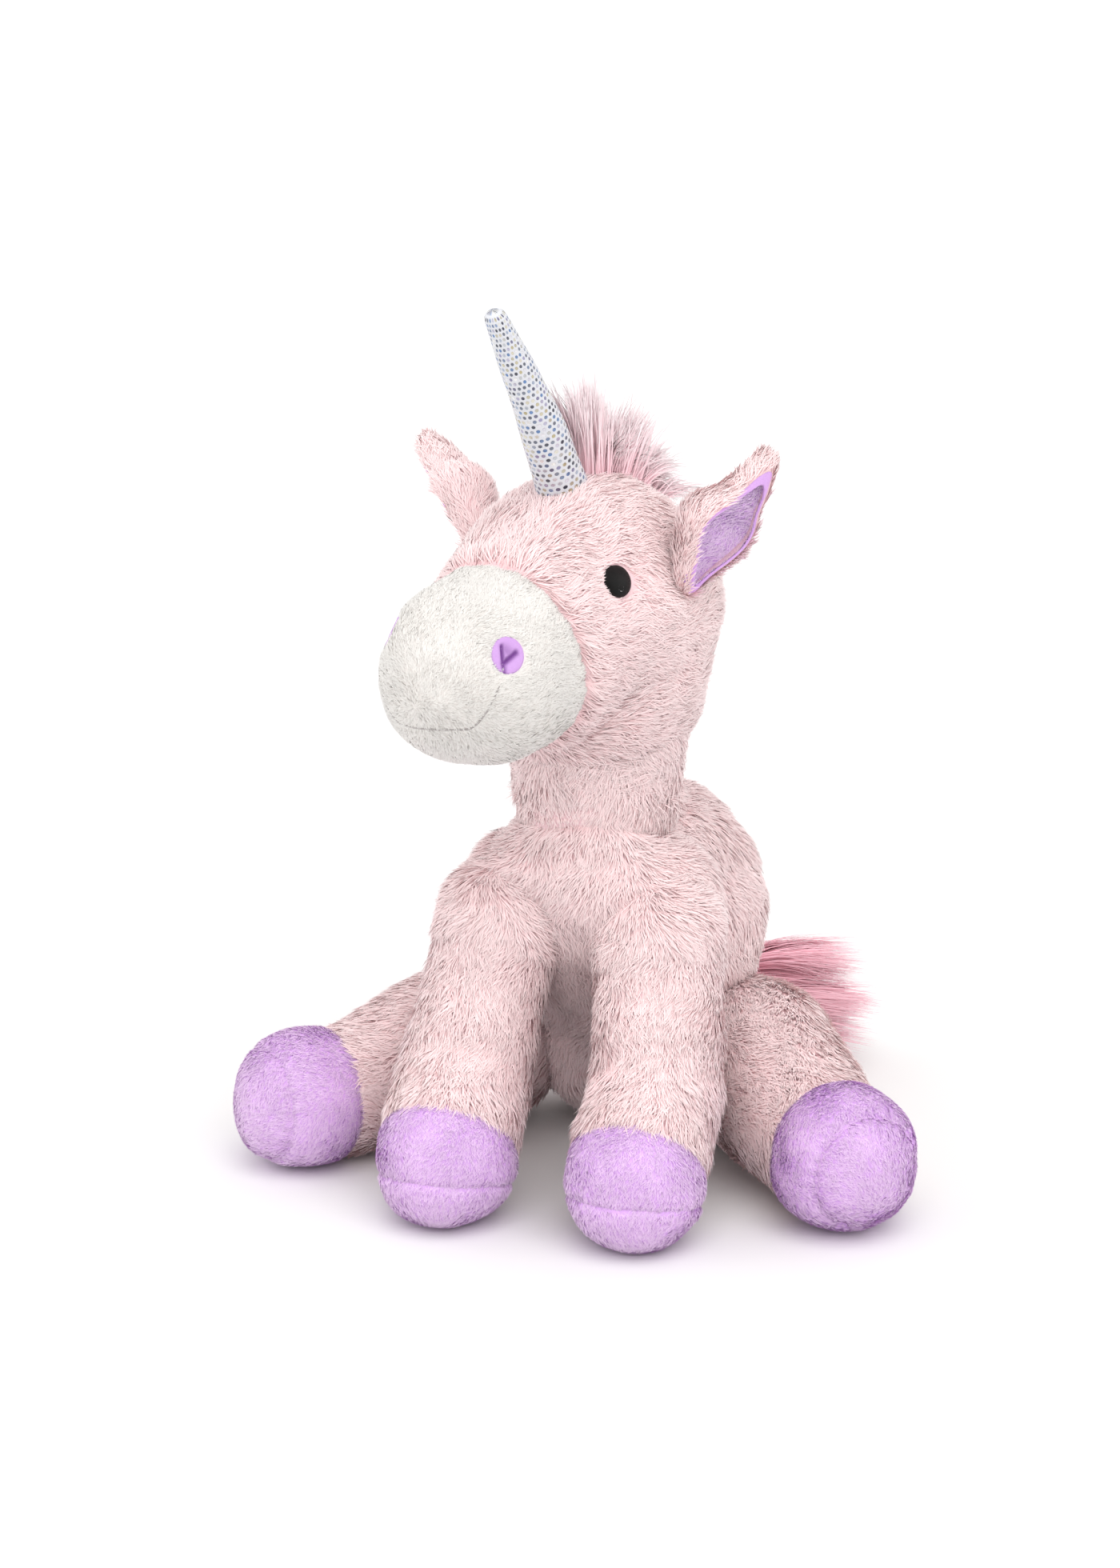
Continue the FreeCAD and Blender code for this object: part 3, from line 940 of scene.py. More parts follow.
class Plan:
    """The toy's forms, placed from the frame's joints."""

    def __init__(self, frame: dict) -> None:
        """Reads the pivots and sets out each form round them."""
        self.pivots = {j["name"]: np.array(j["pos_m"], float) for j in frame["joints"]}
        self.axes = {j["name"]: np.array(j["axis"], float) for j in frame["joints"]}
        turn = self.axes["horn_bend"]
        self.head_turn = math.atan2(turn[1], turn[0])
        self.neck_top = self.pivots["head_turn"]
        neck = self.pivots["neck_nod"]
        self.neck = Capsule(neck, 29 * MM, self.neck_top, 31 * MM)
        self.haunch = mm(0, -14, 86)
        self.seat = mm(0, 0, 40)
        self.chest = mm(0, -50, 108)
        self.trunk = Capsule(self.haunch, 54 * MM, self.chest, 36 * MM)
        self.skull = self.on_head(mm(0, -10, 48))
        self.muzzle = self.on_head(mm(0, -68, 33))
        self.jaw = self.on_head(mm(0, -4, 24))
        self.face = Capsule(self.skull, 47 * MM, self.muzzle, 33 * MM)
        self.ahead = self.turned(mm(0, -1, 0) / MM)
        self.headside = self.turned(mm(1, 0, 0) / MM)

    def turned(self, v: Array) -> Array:
        """A direction in the head's own frame, as the toy holds its head."""
        c, s = math.cos(self.head_turn), math.sin(self.head_turn)
        return np.array((c * v[0] - s * v[1], s * v[0] + c * v[1], v[2]))

    def on_head(self, v: Array) -> Array:
        """A place in the head's own frame, as the toy holds its head."""
        return self.neck_top + self.turned(v)

    def foreleg(self, side: Side) -> tuple[Capsule, Capsule]:
        """A foreleg's shank and hoof."""
        root = self.pivots[f"{side.word}_foreleg_swing"]
        ankle = mirrored(mm(35.5, -98, 48), side)
        toe = mirrored(mm(35, -125, 24), side)
        return Capsule(root, 23 * MM, ankle, 24.5 * MM), Capsule(ankle, 23.5 * MM, toe, 25.5 * MM)

    def hindleg(self, side: Side) -> tuple[Capsule, Capsule]:
        """A hind leg's shank and hoof."""
        root = self.pivots[f"{side.word}_hindleg_splay"]
        ankle = mirrored(mm(90, -75, 25), side)
        toe = mirrored(mm(103, -90, 26), side)
        return Capsule(root, 33 * MM, ankle, 25 * MM), Capsule(ankle, 24 * MM, toe, 26.5 * MM)

    def legs(self) -> list[tuple[Capsule, Capsule]]:
        """All four legs."""
        return [leg(side) for side in Side for leg in (self.foreleg, self.hindleg)]


def clear_of(forms: Sequence[Capsule], by: float) -> Callable[[Array], Array]:
    """A test for points that lie outside every form."""

    def test(points: Array) -> Array:
        """Whether each point is clear."""
        ok = np.ones(len(points), bool)
        for form in forms:
            ok &= form.height(points)[0] > by
        return ok

    return test


# Sub-assemblies


@dataclass
class Torso:
    """The trunk and seat, with their fur."""

    plan: Plan
    inset: float = 2.2 * MM
    voxel: float = 3.0 * MM

    def build(self) -> None:
        """Makes the skin and plants its fur."""
        plan = self.plan
        seat = Capsule(plan.seat, 46 * MM, plan.seat + mm(0, 0, 4), 46 * MM)
        shoulders = [Capsule(mirrored(mm(24, -64, 104), s), 27 * MM, plan.chest, 34 * MM) for s in Side]
        breast = Capsule(mm(-15, -71, 113), 20 * MM, mm(15, -71, 113), 20 * MM)
        bosom = Capsule(mm(0, -62, 122), 28 * MM, plan.chest, 36 * MM)
        forms = [f.grown(-self.inset) for f in (plan.trunk, seat, *shoulders, breast, bosom)]
        skin = remeshed("torso_skin", forms, self.voxel, 14)
        sides = (unit(mirrored(np.array((1.0, 0.25, 0.0)), s)) for s in Side)
        seams = [Seam(mirrored(mm(17, 0, 60), s), normal, 1.0 * MM) for s, normal in zip(Side, sides)]
        seams.append(Seam(mm(0, -80, 128), unit(np.array((0.12, -0.35, 1.0))), 0.6 * MM, 3 * MM))
        Padding().fill(skin, seams, 0.9 * MM, 11)
        neighbours = [plan.neck] + [c for pair in plan.legs() for c in pair]
        press_clear(skin, [f.grown(-1.0 * MM) for f in neighbours], 0.4 * MM)
        subdivided(skin)
        PINK_BACKING.dress(skin)
        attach(skin, "torso")
        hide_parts("torso_cover", "torso_stuffing", "seat_pellet_pouch")
        down = np.array((0.0, 0.35, -1.0))
        for part, low, high in (("front", -1.0, -0.042), ("middle", -0.042, 0.002), ("back", 0.002, 1.0)):
            keep = clear_of([f.grown(-3.0 * MM) for f in neighbours], 0.0)

            def here(p: Array, low: float = low, high: float = high, keep: Callable = keep) -> Array:
                """In this part's length of the torso, and off its neighbours."""
                return keep(p) & (p[:, 1] >= low) & (p[:, 1] < high)

            comb = functools.partial(one_way, down)
            fur = LONG_PILE.plant(f"torso_fur_{part}", skin, comb, here, 21)
            PINK_FUR.dress(fur)
            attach(fur, "torso")


@dataclass
class Neck:
    """The short neck."""

    plan: Plan
    inset: float = -0.5 * MM

    def build(self) -> None:
        """Makes the skin and plants its fur."""
        plan = self.plan
        skin = remeshed("neck_skin", [plan.neck.grown(-self.inset)], 3 * MM, 4)
        Padding(most=1.2 * MM).fill(skin, [], 0.6 * MM, 5)
        subdivided(skin)
        PINK_BACKING.dress(skin)
        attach(skin, "neck")
        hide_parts("neck_cover", "neck_stuffing")
        head = Capsule(plan.skull, 47 * MM, plan.jaw, 43 * MM)
        breast = Capsule(mm(0, -62, 122), 28 * MM, plan.chest, 36 * MM)
        keep = clear_of([head.grown(-6 * MM), plan.trunk.grown(-1 * MM), breast.grown(-1 * MM)], 0.0)
        low = [plan.trunk, breast]

        def shorter(p: Array) -> Array:
            """Strands grow short near the torso."""
            above = np.min([f.height(p)[0] for f in low], axis=0)
            return np.clip(above / (8 * MM), 0.35, 1.0)

        fur = LONG_PILE.plant("neck_fur", skin, functools.partial(one_way, -UP), keep, 31, shorter)
        PINK_FUR.dress(fur)
        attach(fur, "neck")


@dataclass
class Leg:
    """A leg and its hoof."""

    name: str
    shank: Capsule
    hoof: Capsule
    seam_share: float
    sole_aim: Array
    sole_inset: float
    neighbours: list[Capsule]
    seed: int
    inset: float = 1.8 * MM

    def build(self) -> None:
        """Makes the leg's skins and plants its fur."""
        axis = self.hoof.axis
        seam_at = self.hoof.foot + (self.hoof.head - self.hoof.foot) * self.seam_share
        sole_aim = unit(self.sole_aim)
        sole_at = self.hoof.head + sole_aim * (self.hoof.head_r - self.sole_inset)
        forms = [self.shank.grown(-self.inset), self.hoof.grown(-0.6 * MM)]
        skin = remeshed(f"{self.name}_skin", forms, 2.6 * MM, 6)
        sewn = Seam(seam_at, axis, 1.4 * MM, 2.4 * MM)
        welt = Seam(sole_at, sole_aim, 0.7 * MM, 2.4 * MM)
        Padding(pressure=4.0).fill(skin, [sewn, welt], 0.5 * MM, self.seed)
        points = points_of(skin)
        low = np.clip(1 - points[:, 2] / (26 * MM), 0, 1)
        low = low * np.clip((points - seam_at) @ axis / (8 * MM), 0, 1)
        points[:, :2] += (points[:, :2] - self.hoof.head[:2]) * 0.14 * low[:, None]
        set_points(skin, points)
        press_clear(skin, [], 0.0)
        subdivided(skin)
        welt.draw(skin, 0.9 * MM, self.seed)
        hoof = split(skin, f"{self.name}_hoof_skin", seam_at, axis)
        sole = split(hoof, f"{self.name}_hoof_sole_skin", sole_at, sole_aim)
        PINK_BACKING.dress(skin)
        for piece in (hoof, sole):
            PURPLE_PLUSH.dress(piece)
        for piece in (skin, hoof, sole):
            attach(piece, self.name)
        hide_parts(f"{self.name}_cover", f"{self.name}_stuffing")
        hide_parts(f"{self.name}_hoof_cover", f"{self.name}_hoof_pellets")
        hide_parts(f"{self.name}_hoof_sole")
        way = axis - 0.4 * UP
        for number, piece in enumerate((hoof, sole)):
            comb = functools.partial(one_way, way)
            velvet = VELVET.plant(f"{piece.name}_pile", piece, comb, clear_of([], 0), self.seed + number)
            LAVENDER_PILE.dress(velvet)
            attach(velvet, self.name)
        keep = clear_of([f.grown(-4 * MM) for f in self.neighbours], 0.0)
        along = self.shank.axis + 0.3 * axis
        comb = functools.partial(one_way, along)
        fur = LEG_PILE.plant(f"{self.name}_fur", skin, comb, keep, self.seed + 50)
        PINK_FUR.dress(fur)
        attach(fur, self.name)


EYE_HALF = (5.4 * MM, 6.0 * MM)  # half width and half height
EYE_DOME = 2.6 * MM
GLINT_HALF = (1.5 * MM, 1.6 * MM)
GLINT_DOME = 0.7 * MM
NOSTRIL_HALF = (6.2 * MM, 6.8 * MM)
NOSTRIL_DOME = 1.6 * MM
NOSTRIL_FOLD = 1.5 * MM


@dataclass
class Head:
    """The head, its muzzle and its face."""

    plan: Plan
    inset: float = 2.2 * MM
    seam_share: float = 0.77

    def build(self) -> None:
        """Makes the skins, the face and the fur."""
        plan = self.plan
        face = plan.face
        jaw = Capsule(plan.skull, 44 * MM, plan.jaw, 43 * MM)
        nape = Capsule(plan.on_head(mm(0, -3, 44)), 46.5 * MM, plan.on_head(mm(0, 4, 18)), 39 * MM)
        snout = Capsule(plan.muzzle, 33 * MM, plan.muzzle + plan.turned(mm(-3.5, -1.5, 0)), 33 * MM)
        forms = [f.grown(-self.inset) for f in (face, jaw, nape)] + [snout.grown(-0.6 * MM)]
        skin = remeshed("head_skin", forms, 3.4 * MM, 6)
        seam_at = plan.skull + (plan.muzzle - plan.skull) * self.seam_share
        seams = [Seam(seam_at, face.axis, 1.6 * MM, 2.6 * MM)]
        Padding(pressure=3.5).fill(skin, seams, 0.6 * MM, 41)
        press_clear(skin, [plan.neck.grown(-1.0 * MM)], 0.4 * MM)
        subdivided(skin, 2)
        seams[0].draw(skin, 0.7 * MM, 43)
        muzzle = split(skin, "muzzle_skin", seam_at, face.axis)
        PINK_BACKING.dress(skin)
        CREAM_PLUSH.dress(muzzle)
        for piece in (skin, muzzle):
            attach(piece, "head")
        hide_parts("head_cover", "head_stuffing")
        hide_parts("muzzle_cover", "muzzle_stuffing")
        eyes = self.eyes(skin)
        nostrils = self.nostrils(muzzle)
        self.mouth(muzzle)
        pile = VELVET.plant(
            "muzzle_pile",
            muzzle,
            functools.partial(one_way, -face.axis),
            lambda p: np.min([np.linalg.norm(p - n, axis=1) for n in nostrils], axis=0) > 6.3 * MM,
            45,
        )
        CREAM_PILE.dress(pile)
        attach(pile, "head")
        back = -face.axis + 0.35 * -UP
        keep_neck = clear_of([plan.neck.grown(-2 * MM)], 0.0)

        def near_eye(p: Array) -> Array:
            """How far each point is from the nearer eye."""
            return np.min([np.linalg.norm(p - e, axis=1) for e in eyes], axis=0)

        def shorter(p: Array) -> Array:
            """Strands grow short round the eyes."""
            return np.clip(near_eye(p) / (16 * MM), 0.45, 1.0)

        def comb(p: Array) -> Array:
            """Brushed back from the muzzle and outwards."""
            return back + 0.6 * unit(p - plan.skull) * np.array((1.0, 1.0, 0.0))

        for word, sign in (("left", 1), ("right", -1)):

            def here(p: Array, sign: int = sign) -> Array:
                """On this side of the head, off the neck and off the eyes."""
                this_side = sign * ((p - plan.skull) @ plan.headside) > 0
                return keep_neck(p) & this_side & (near_eye(p) > 6.6 * MM)

            fur = LONG_PILE.plant(f"head_fur_{word}", skin, comb, here, 60, shorter)
            PINK_FUR.dress(fur)
            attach(fur, "head")

    def aim(self, side_degrees: float, lift_degrees: float) -> Array:
        """The direction turned from straight ahead to the head's left, then lifted."""
        side, lift = math.radians(side_degrees), math.radians(lift_degrees)
        return self.plan.turned(
            np.array((math.sin(side) * math.cos(lift), -math.cos(side) * math.cos(lift), math.sin(lift)))
        )

    def near_line(
        self, x: float, y: float, start: tuple[float, float], end: tuple[float, float], width: float
    ) -> float:
        """How near a point lies to a line, from 0 to 1 on it."""
        p, a, b = np.array((x, y)), np.array(start), np.array(end)
        share = np.clip((p - a) @ (b - a) / ((b - a) @ (b - a)), 0, 1)
        return math.exp(-((np.linalg.norm(p - a - share * (b - a)) / width) ** 2))

    def dent(self, skin: bpy.types.Object, aim: Array, radius: float, depth: float) -> None:
        """Presses a round hollow into the muzzle where aim leaves it."""
        tree = BVHTree.FromObject(skin, bpy.context.evaluated_depsgraph_get())
        hit, normal, _, _ = tree.ray_cast(Vector(self.plan.muzzle), Vector(aim))
        points = points_of(skin)
        reach = np.linalg.norm(points - np.array(hit), axis=1) / radius
        set_points(skin, points - np.outer(depth * np.clip(1 - reach**2, 0, 1) ** 2, np.array(normal)))

    def patch(
        self,
        name: str,
        skin: bpy.types.Object,
        start: Array,
        aim: Array,
        half: tuple[float, float],
        dome: float,
        slit: float = 0.0,
    ) -> tuple[bpy.types.Object, Array]:
        """A domed patch that lies on a skin.

        Args:
            name: the piece's name.
            skin: what it is sewn to.
            start: a point inside the skin.
            aim: the way out to the patch's middle.
            half: its half width and half height.
            dome: how far its middle stands up.
            slit: how deep a fold is pressed into it, and whether the fold is kept as the mask of its painted
                shade.

        Returns:
            The patch, and its middle.
        """
        tree = BVHTree.FromObject(skin, bpy.context.evaluated_depsgraph_get())
        hit, normal, _, _ = tree.ray_cast(Vector(start), Vector(aim))
        middle, out = np.array(hit), np.array(normal)
        side = unit(np.cross(UP, out))
        up = np.cross(out, side)
        bm = bmesh.new()
        bmesh.ops.create_circle(bm, cap_ends=True, radius=1.0, segments=40)
        face = bm.faces[:]
        for _ in range(13):
            bmesh.ops.inset_individual(bm, faces=face, thickness=1.0 / 14)
            face = [f for f in bm.faces if len(f.verts) == 40]
        bmesh.ops.poke(bm, faces=face)
        obj = mesh_object(name, bm)
        flat = points_of(obj)
        reach = np.linalg.norm(flat[:, :2], axis=1)
        places, folds = [], []
        for (x, y, _), r in zip(flat, reach):
            p = middle + side * x * half[0] + up * y * half[1]
            near, n, _, _ = tree.find_nearest(Vector(p))
            # the fold's two lines and the hollow between them: how deep each point is pressed in, and how
            # much painted shade it takes
            fold = max(
                self.near_line(x, y, (-0.3, 0.5), (-0.32, -0.95), 0.13),
                self.near_line(x, y, (-0.3, -0.4), (0.5, 0.1), 0.17),
                0.45 * self.near_line(x, y, (-0.1, 0.3), (0.15, 0.1), 0.3),
            )
            folds.append(fold)
            high = dome * math.sqrt(max(0.0, 1 - r**2)) - 0.5 * MM * (r > 0.99) - slit * fold * (1 - r**4)
            places.append(np.array(near) + np.array(n) * high)
        set_points(obj, np.array(places))
        # the fold is kept for the finish, which paints shade along it
        if slit:
            fold = obj.data.attributes.new("fold", "FLOAT", "POINT")
            fold.data.foreach_set("value", np.array(folds, np.float32))
        thick = obj.modifiers.new("cloth", "SOLIDIFY")
        thick.thickness = 0.6 * MM
        thick.offset = -1
        settle(obj)
        return obj, middle

    def eyes(self, skin: bpy.types.Object) -> list[Array]:
        """Both eyes and their glints."""
        places = []
        for side in Side:
            aim = self.aim(side.value * 52, 20)
            skull = self.plan.skull
            eye, middle = self.patch(f"{side.word}_eye_stitch", skin, skull, aim, EYE_HALF, EYE_DOME)
            EYE_THREAD.dress(eye)
            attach(eye, "head")
            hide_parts(f"{side.word}_eye")
            places.append(middle)
            aim = self.aim(side.value * 52.6, 16.9)
            glint, _ = self.patch(f"{side.word}_glint_stitch", eye, skull, aim, GLINT_HALF, GLINT_DOME)
            GLINT_THREAD.dress(glint)
            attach(glint, "head")
            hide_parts(f"{side.word}_eye_glint")
        return places

    def nostrils(self, muzzle: bpy.types.Object) -> list[Array]:
        """Both nostril patches, and where they lie."""
        places = []
        for side in Side:
            aim = self.aim(side.value * 54, 24)
            self.dent(muzzle, aim, 10 * MM, 2.4 * MM)
            name, centre = f"{side.word}_nostril_patch", self.plan.muzzle
            patch, middle = self.patch(name, muzzle, centre, aim, NOSTRIL_HALF, NOSTRIL_DOME, NOSTRIL_FOLD)
            NOSTRIL_PLUSH.dress(patch)
            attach(patch, "head")
            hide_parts(f"{side.word}_nostril")
            places.append(middle)
        return places

    def mouth(self, muzzle: bpy.types.Object) -> None:
        """The stitched line of the mouth, laid on the muzzle."""
        tree = BVHTree.FromObject(muzzle, bpy.context.evaluated_depsgraph_get())
        curve = bpy.data.curves.new("mouth", "CURVE")
        curve.dimensions = "3D"
        curve.bevel_depth = 0.4 * MM
        curve.bevel_resolution = 2
        line = curve.splines.new("NURBS")
        turns = np.linspace(-47, 47, 39)
        line.points.add(len(turns) - 1)
        for point, turn in zip(line.points, turns):
            lift = -26 + 2 * (turn / 30) ** 2 + 26 * max(0.0, (abs(turn) - 27) / 20) ** 1.6
            hit = tree.ray_cast(Vector(self.plan.muzzle), Vector(self.aim(turn, lift)))[0]
            point.co = (*hit, 1)
        line.order_u = 4
        line.use_endpoint_u = True
        drawn = bpy.data.objects.new("mouth", curve)
        bpy.context.scene.collection.objects.link(drawn)
        mesh = bpy.data.meshes.new_from_object(drawn)
        bpy.data.objects.remove(drawn)
        thread = stand("mouth_thread", mesh)
        MOUTH_THREAD.dress(thread)
        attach(thread, "head")
        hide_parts("mouth_stitch")


@dataclass
class Horn:
    """The horn: a soft spangled cone."""

    plan: Plan
    foot_r: float = 9.5 * MM
    tip_r: float = 4.0 * MM
    length: float = 73 * MM
    lean: float = 29.0

    def build(self) -> None:
        """Spins the cone, bends it a little and lays the rows of dots on it."""
        plan = self.plan
        foot = plan.pivots["horn_bend"]
        lean = math.radians(self.lean)
        axis = plan.turned(np.array((0.0, -math.sin(lean), math.cos(lean))))
        profile = [(0.2 * MM, -5 * MM), (self.foot_r * 0.9, -4 * MM)]
        for i in range(25):
            s = i / 24
            belly = 0.5 * MM * math.sin(math.pi * s)
            profile.append((self.foot_r + (self.tip_r - self.foot_r) * s + belly, s * self.length))
        for i in range(1, 9):
            a = i / 8 * math.pi / 2
            profile.append((max(self.tip_r * math.cos(a), 0.05 * MM), self.length + self.tip_r * math.sin(a)))
        bm = bmesh.new()
        verts = [bm.verts.new((r, 0, z)) for r, z in profile]
        edges = [bm.edges.new(pair) for pair in zip(verts, verts[1:])]
        line, turn = verts + edges, 2 * math.pi
        bmesh.ops.spin(bm, geom=line, cent=(0, 0, 0), axis=(0, 0, 1), angle=turn, steps=48, use_merge=True)
        bmesh.ops.recalc_face_normals(bm, faces=bm.faces)
        horn = mesh_object("horn_skin", bm)
        local = points_of(horn)
        turns = np.arctan2(local[:, 1], local[:, 0]) / (2 * math.pi)
        rows = local[:, 2] / (2.0 * MM)
        side = unit(np.cross(axis, plan.ahead))
        front = np.cross(side, axis)
        bend = 5.0 * MM * (local[:, 2] / self.length) ** 2
        ripple = 1 + 0.03 * waves(local, 9 * MM, 3)
        placed = (
            foot
            + np.outer(local[:, 0] * ripple, side)
            + np.outer(local[:, 1] * ripple + bend - 2.5 * MM * local[:, 2] / self.length, front)
            + np.outer(local[:, 2], axis)
        )
        layer = horn.data.uv_layers.new(name="rows")
        for poly in horn.data.polygons:
            base = turns[poly.vertices[0]]
            for loop in poly.loop_indices:
                v = horn.data.loops[loop].vertex_index
                t = turns[v] + round(base - turns[v])
                layer.data[loop].uv = (t * 22, rows[v])
        set_points(horn, placed)
        HORN_CLOTH.dress(horn)
        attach(horn, "horn")
        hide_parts("horn_cover", "horn_stuffing")


@dataclass
class Ear:
    """An ear: a leaf folded to a trough, furred behind and lined with plush."""

    plan: Plan
    side: Side
    splay: float
    back: float
    root_r: float = 7 * MM
    middle_r: float = 15.5 * MM
    tip_r: float = 5.5 * MM
    middle: float = 22 * MM
    length: float = 50 * MM
    mouth: float = 4.0 * MM

    def frame(self) -> tuple[Array, Array, Array, Array]:
        """The ear's root, its aim, the way its mouth opens, and the way across it."""
        root = self.plan.pivots[f"{self.side.word}_ear_fold"]
        splay = math.radians(self.splay)
        back = math.tan(math.radians(self.back))
        aim = self.plan.turned(unit(np.array((math.sin(splay) * self.side.value, back, math.cos(splay)))))
        outward = self.plan.turned(np.array((float(self.side.value), -0.22, 0.0)))
        opening = unit(outward - aim * (outward @ aim))
        return root, aim, opening, np.cross(aim, opening)

    def shell(self, name: str, inset: float, rise: float) -> bpy.types.Object:
        """A leaf of the ear, open along its mouth, taken in by inset and made shallower by the share rise."""
        root, aim, opening, beside = self.frame()
        middle = root + aim * self.middle
        forms = [
            Capsule(root, self.root_r, middle, self.middle_r).grown(-inset),
            Capsule(middle, self.middle_r - 1.2 * MM, root + aim * self.length, self.tip_r).grown(-inset),
        ]
        leaf = remeshed(name, forms, 1.9 * MM, 6)
        outer = split(leaf, "mouth", root + opening * self.mouth, opening)
        bpy.data.objects.remove(outer)
        points = points_of(leaf)
        up = (points - root) @ aim / self.length
        out = (points - root) @ opening
        side = (points - root) @ beside
        flare = rise * np.clip(self.mouth - out, 0, None) + 2.0 * MM * np.clip(up, 0, 1) ** 2
        flare = flare + 0.7 * MM * waves(points, 17 * MM, 5 + self.side.value)
        pinch = side * -0.25 * np.clip(1 - up * 1.6, 0, 1) * np.clip(out / self.mouth, 0, 1)
        set_points(leaf, points + np.outer(flare, opening) + np.outer(pinch, beside))
        subdivided(leaf)
        return leaf

    def build(self) -> None:
        """Makes both leaves and their pile."""
        body = f"{self.side.word}_ear"
        _, aim, _, _ = self.frame()
        back = self.shell(f"{body}_back_skin", 1.2 * MM, 0.0)
        lining = self.shell(f"{body}_lining_skin", 3.0 * MM, 0.6)
        inside_out = bmesh.new()
        inside_out.from_mesh(lining.data)
        bmesh.ops.reverse_faces(inside_out, faces=inside_out.faces)
        inside_out.to_mesh(lining.data)
        inside_out.free()
        comb = functools.partial(one_way, aim)
        fur = EAR_PILE.plant(f"{body}_fur", back, comb, clear_of([], 0.0), 80 + self.side.value)
        PINK_FUR.dress(fur)
        velvet = VELVET.plant(f"{body}_pile", lining, comb, clear_of([], 0.0), 90 + self.side.value)
        # the lining takes the lighter copy of the lavender pile: painted light against the trough's shade
        EAR_LINING_PILE_PAINTED_LIGHTER.dress(velvet)
        for sheet, thick in ((back, 1.8 * MM), (lining, 0.8 * MM)):
            solid = sheet.modifiers.new("cloth", "SOLIDIFY")
            solid.thickness = thick
            solid.offset = -1
            settle(sheet)
        PINK_BACKING.dress(back)
        PURPLE_PLUSH.dress(lining)
        for piece in (fur, velvet, back, lining):
            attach(piece, body)
        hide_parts(f"{body}_back")
        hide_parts(f"{body}_lining")


@dataclass(frozen=True)
class Hair:
    """Long loose hair: each strand falls along its own curve."""

    width: float = 0.5 * MM
    steps: int = 8

    def grow(
        self, name: str, root: Array, start: Array, end: Array, tone: Array, light: Array
    ) -> bpy.types.Object:
        """Grows strands as smooth curves.

        Args:
            name: the piece's name.
            root: each strand's root.
            start: the way it leaves, with its reach.
            end: each strand's tip.
            tone: each strand's shade.
            light: the way it faces for the light.

        Returns:
            The hair, as one mesh.
        """
        blade = Blade(self.steps)
        s = blade.along[None, :, None]
        control = root + start
        spine = (1 - s) ** 2 * root[:, None] + 2 * s * (1 - s) * control[:, None] + s**2 * end[:, None]
        side = unit(np.cross(end - root, light))
        taper = (1 - blade.along**3) * np.where(blade.along > 0.999, 0, 1)
        points = spine + side[:, None] * (blade.side * taper * self.width / 2)[None, :, None]
        return strip_mesh(name, blade, points, light, tone)


@dataclass
class Mane:
    """The mane on the crown, on its tape."""

    plan: Plan
    count: int = 5200

    def build(self) -> None:
        """Plants the mane along the crown, falling back and to the left."""
        plan = self.plan
        rng = np.random.default_rng(7)
        count = self.count
        share = rng.random(count) ** 1.2
        turn = np.radians(-5 + 56 * share)
        off = rng.normal(0, 3.0, count) * MM
        out = np.outer(np.cos(turn), UP) - np.outer(np.sin(turn), plan.ahead)
        root = plan.skull + out * 45 * MM + np.outer(off, plan.headside)
        lock = np.floor(turn * 16) + 7 * (off > 0)
        swing = np.random.default_rng(9).normal(0, 0.32, (64, 3))[lock.astype(int) % 64]
        reach = rng.uniform(0.55, 1.1, count)[:, None]
        sideways = np.outer(np.sign(off + 1 * MM) * (5 + 6 * share) - 4, plan.headside)
        start = (out * 16 + swing * 6 + sideways * 0.3) * MM * reach
        rise, back = (29 - 19 * share)[:, None], (-5 + 16 * share)[:, None]
        fall = out * rise - plan.ahead * back + sideways + swing * 15
        end = root + (fall + rng.normal(0, 2.4, (count, 3))) * MM * reach
        tone = np.clip(0.5 + swing[:, 0] + rng.normal(0, 0.15, count), 0, 1)
        facing = np.outer(np.sign(off), plan.headside) * 0.9 + out * 0.5 + plan.ahead * 0.2
        light = unit(facing + rng.normal(0, 0.3, (count, 3)))
        hair = Hair().grow("mane_strands", root, start, end, tone, light)
        MANE_HAIR.dress(hair)
        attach(hair, "head")
        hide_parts("mane_hair")


@dataclass
class Tail:
    """The tail's tuft, on its tab."""

    plan: Plan
    count: int = 5200
    swing_out: float = 65.0  # degrees that it lies to the left of straight back
    tab: float = 10 * MM
    root_r: float = 4 * MM
    length: float = 73.0  # millimetres, as are the next two
    fan: float = 17.0
    lock: float = 13.0

    def build(self) -> None:
        """Grows the tuft from its tab."""
        plan = self.plan
        rng = np.random.default_rng(17)
        count = self.count
        pivot = plan.pivots["tail_swing"]
        out = math.radians(self.swing_out)
        aim = np.array((math.sin(out), math.cos(out), 0.0))
        side = unit(np.cross(aim, UP))
        turn = rng.uniform(0, 2 * math.pi, count)
        far = np.sqrt(rng.random(count))
        ring = np.outer(np.cos(turn) * far, side) + np.outer(np.sin(turn) * far, UP)
        root = pivot + aim * self.tab + ring * self.root_r
        lock = (np.floor(turn * 3.2) + 20 * np.floor(far * 2.5)).astype(int)
        swing = np.random.default_rng(19).normal(0, 0.35, (80, 3))[lock % 80]
        reach = rng.uniform(0.62, 1.0, count)[:, None]
        start = (aim * 28 + ring * 20 + swing * 6 + UP * 4) * MM
        fall = aim * self.length * reach + ring * self.fan + swing * self.lock
        end = root + (fall + rng.normal(0, 2.2, (count, 3)) - UP * 5) * MM
        tone = np.clip(0.5 + swing[:, 1] + rng.normal(0, 0.15, count), 0, 1)
        light = unit(ring + 0.4 * UP + rng.normal(0, 0.25, (count, 3)))
        hair = Hair().grow("tail_strands", root, start, end, tone, light)
        TAIL_HAIR.dress(hair)
        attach(hair, "tail")
        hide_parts("tail_hair")


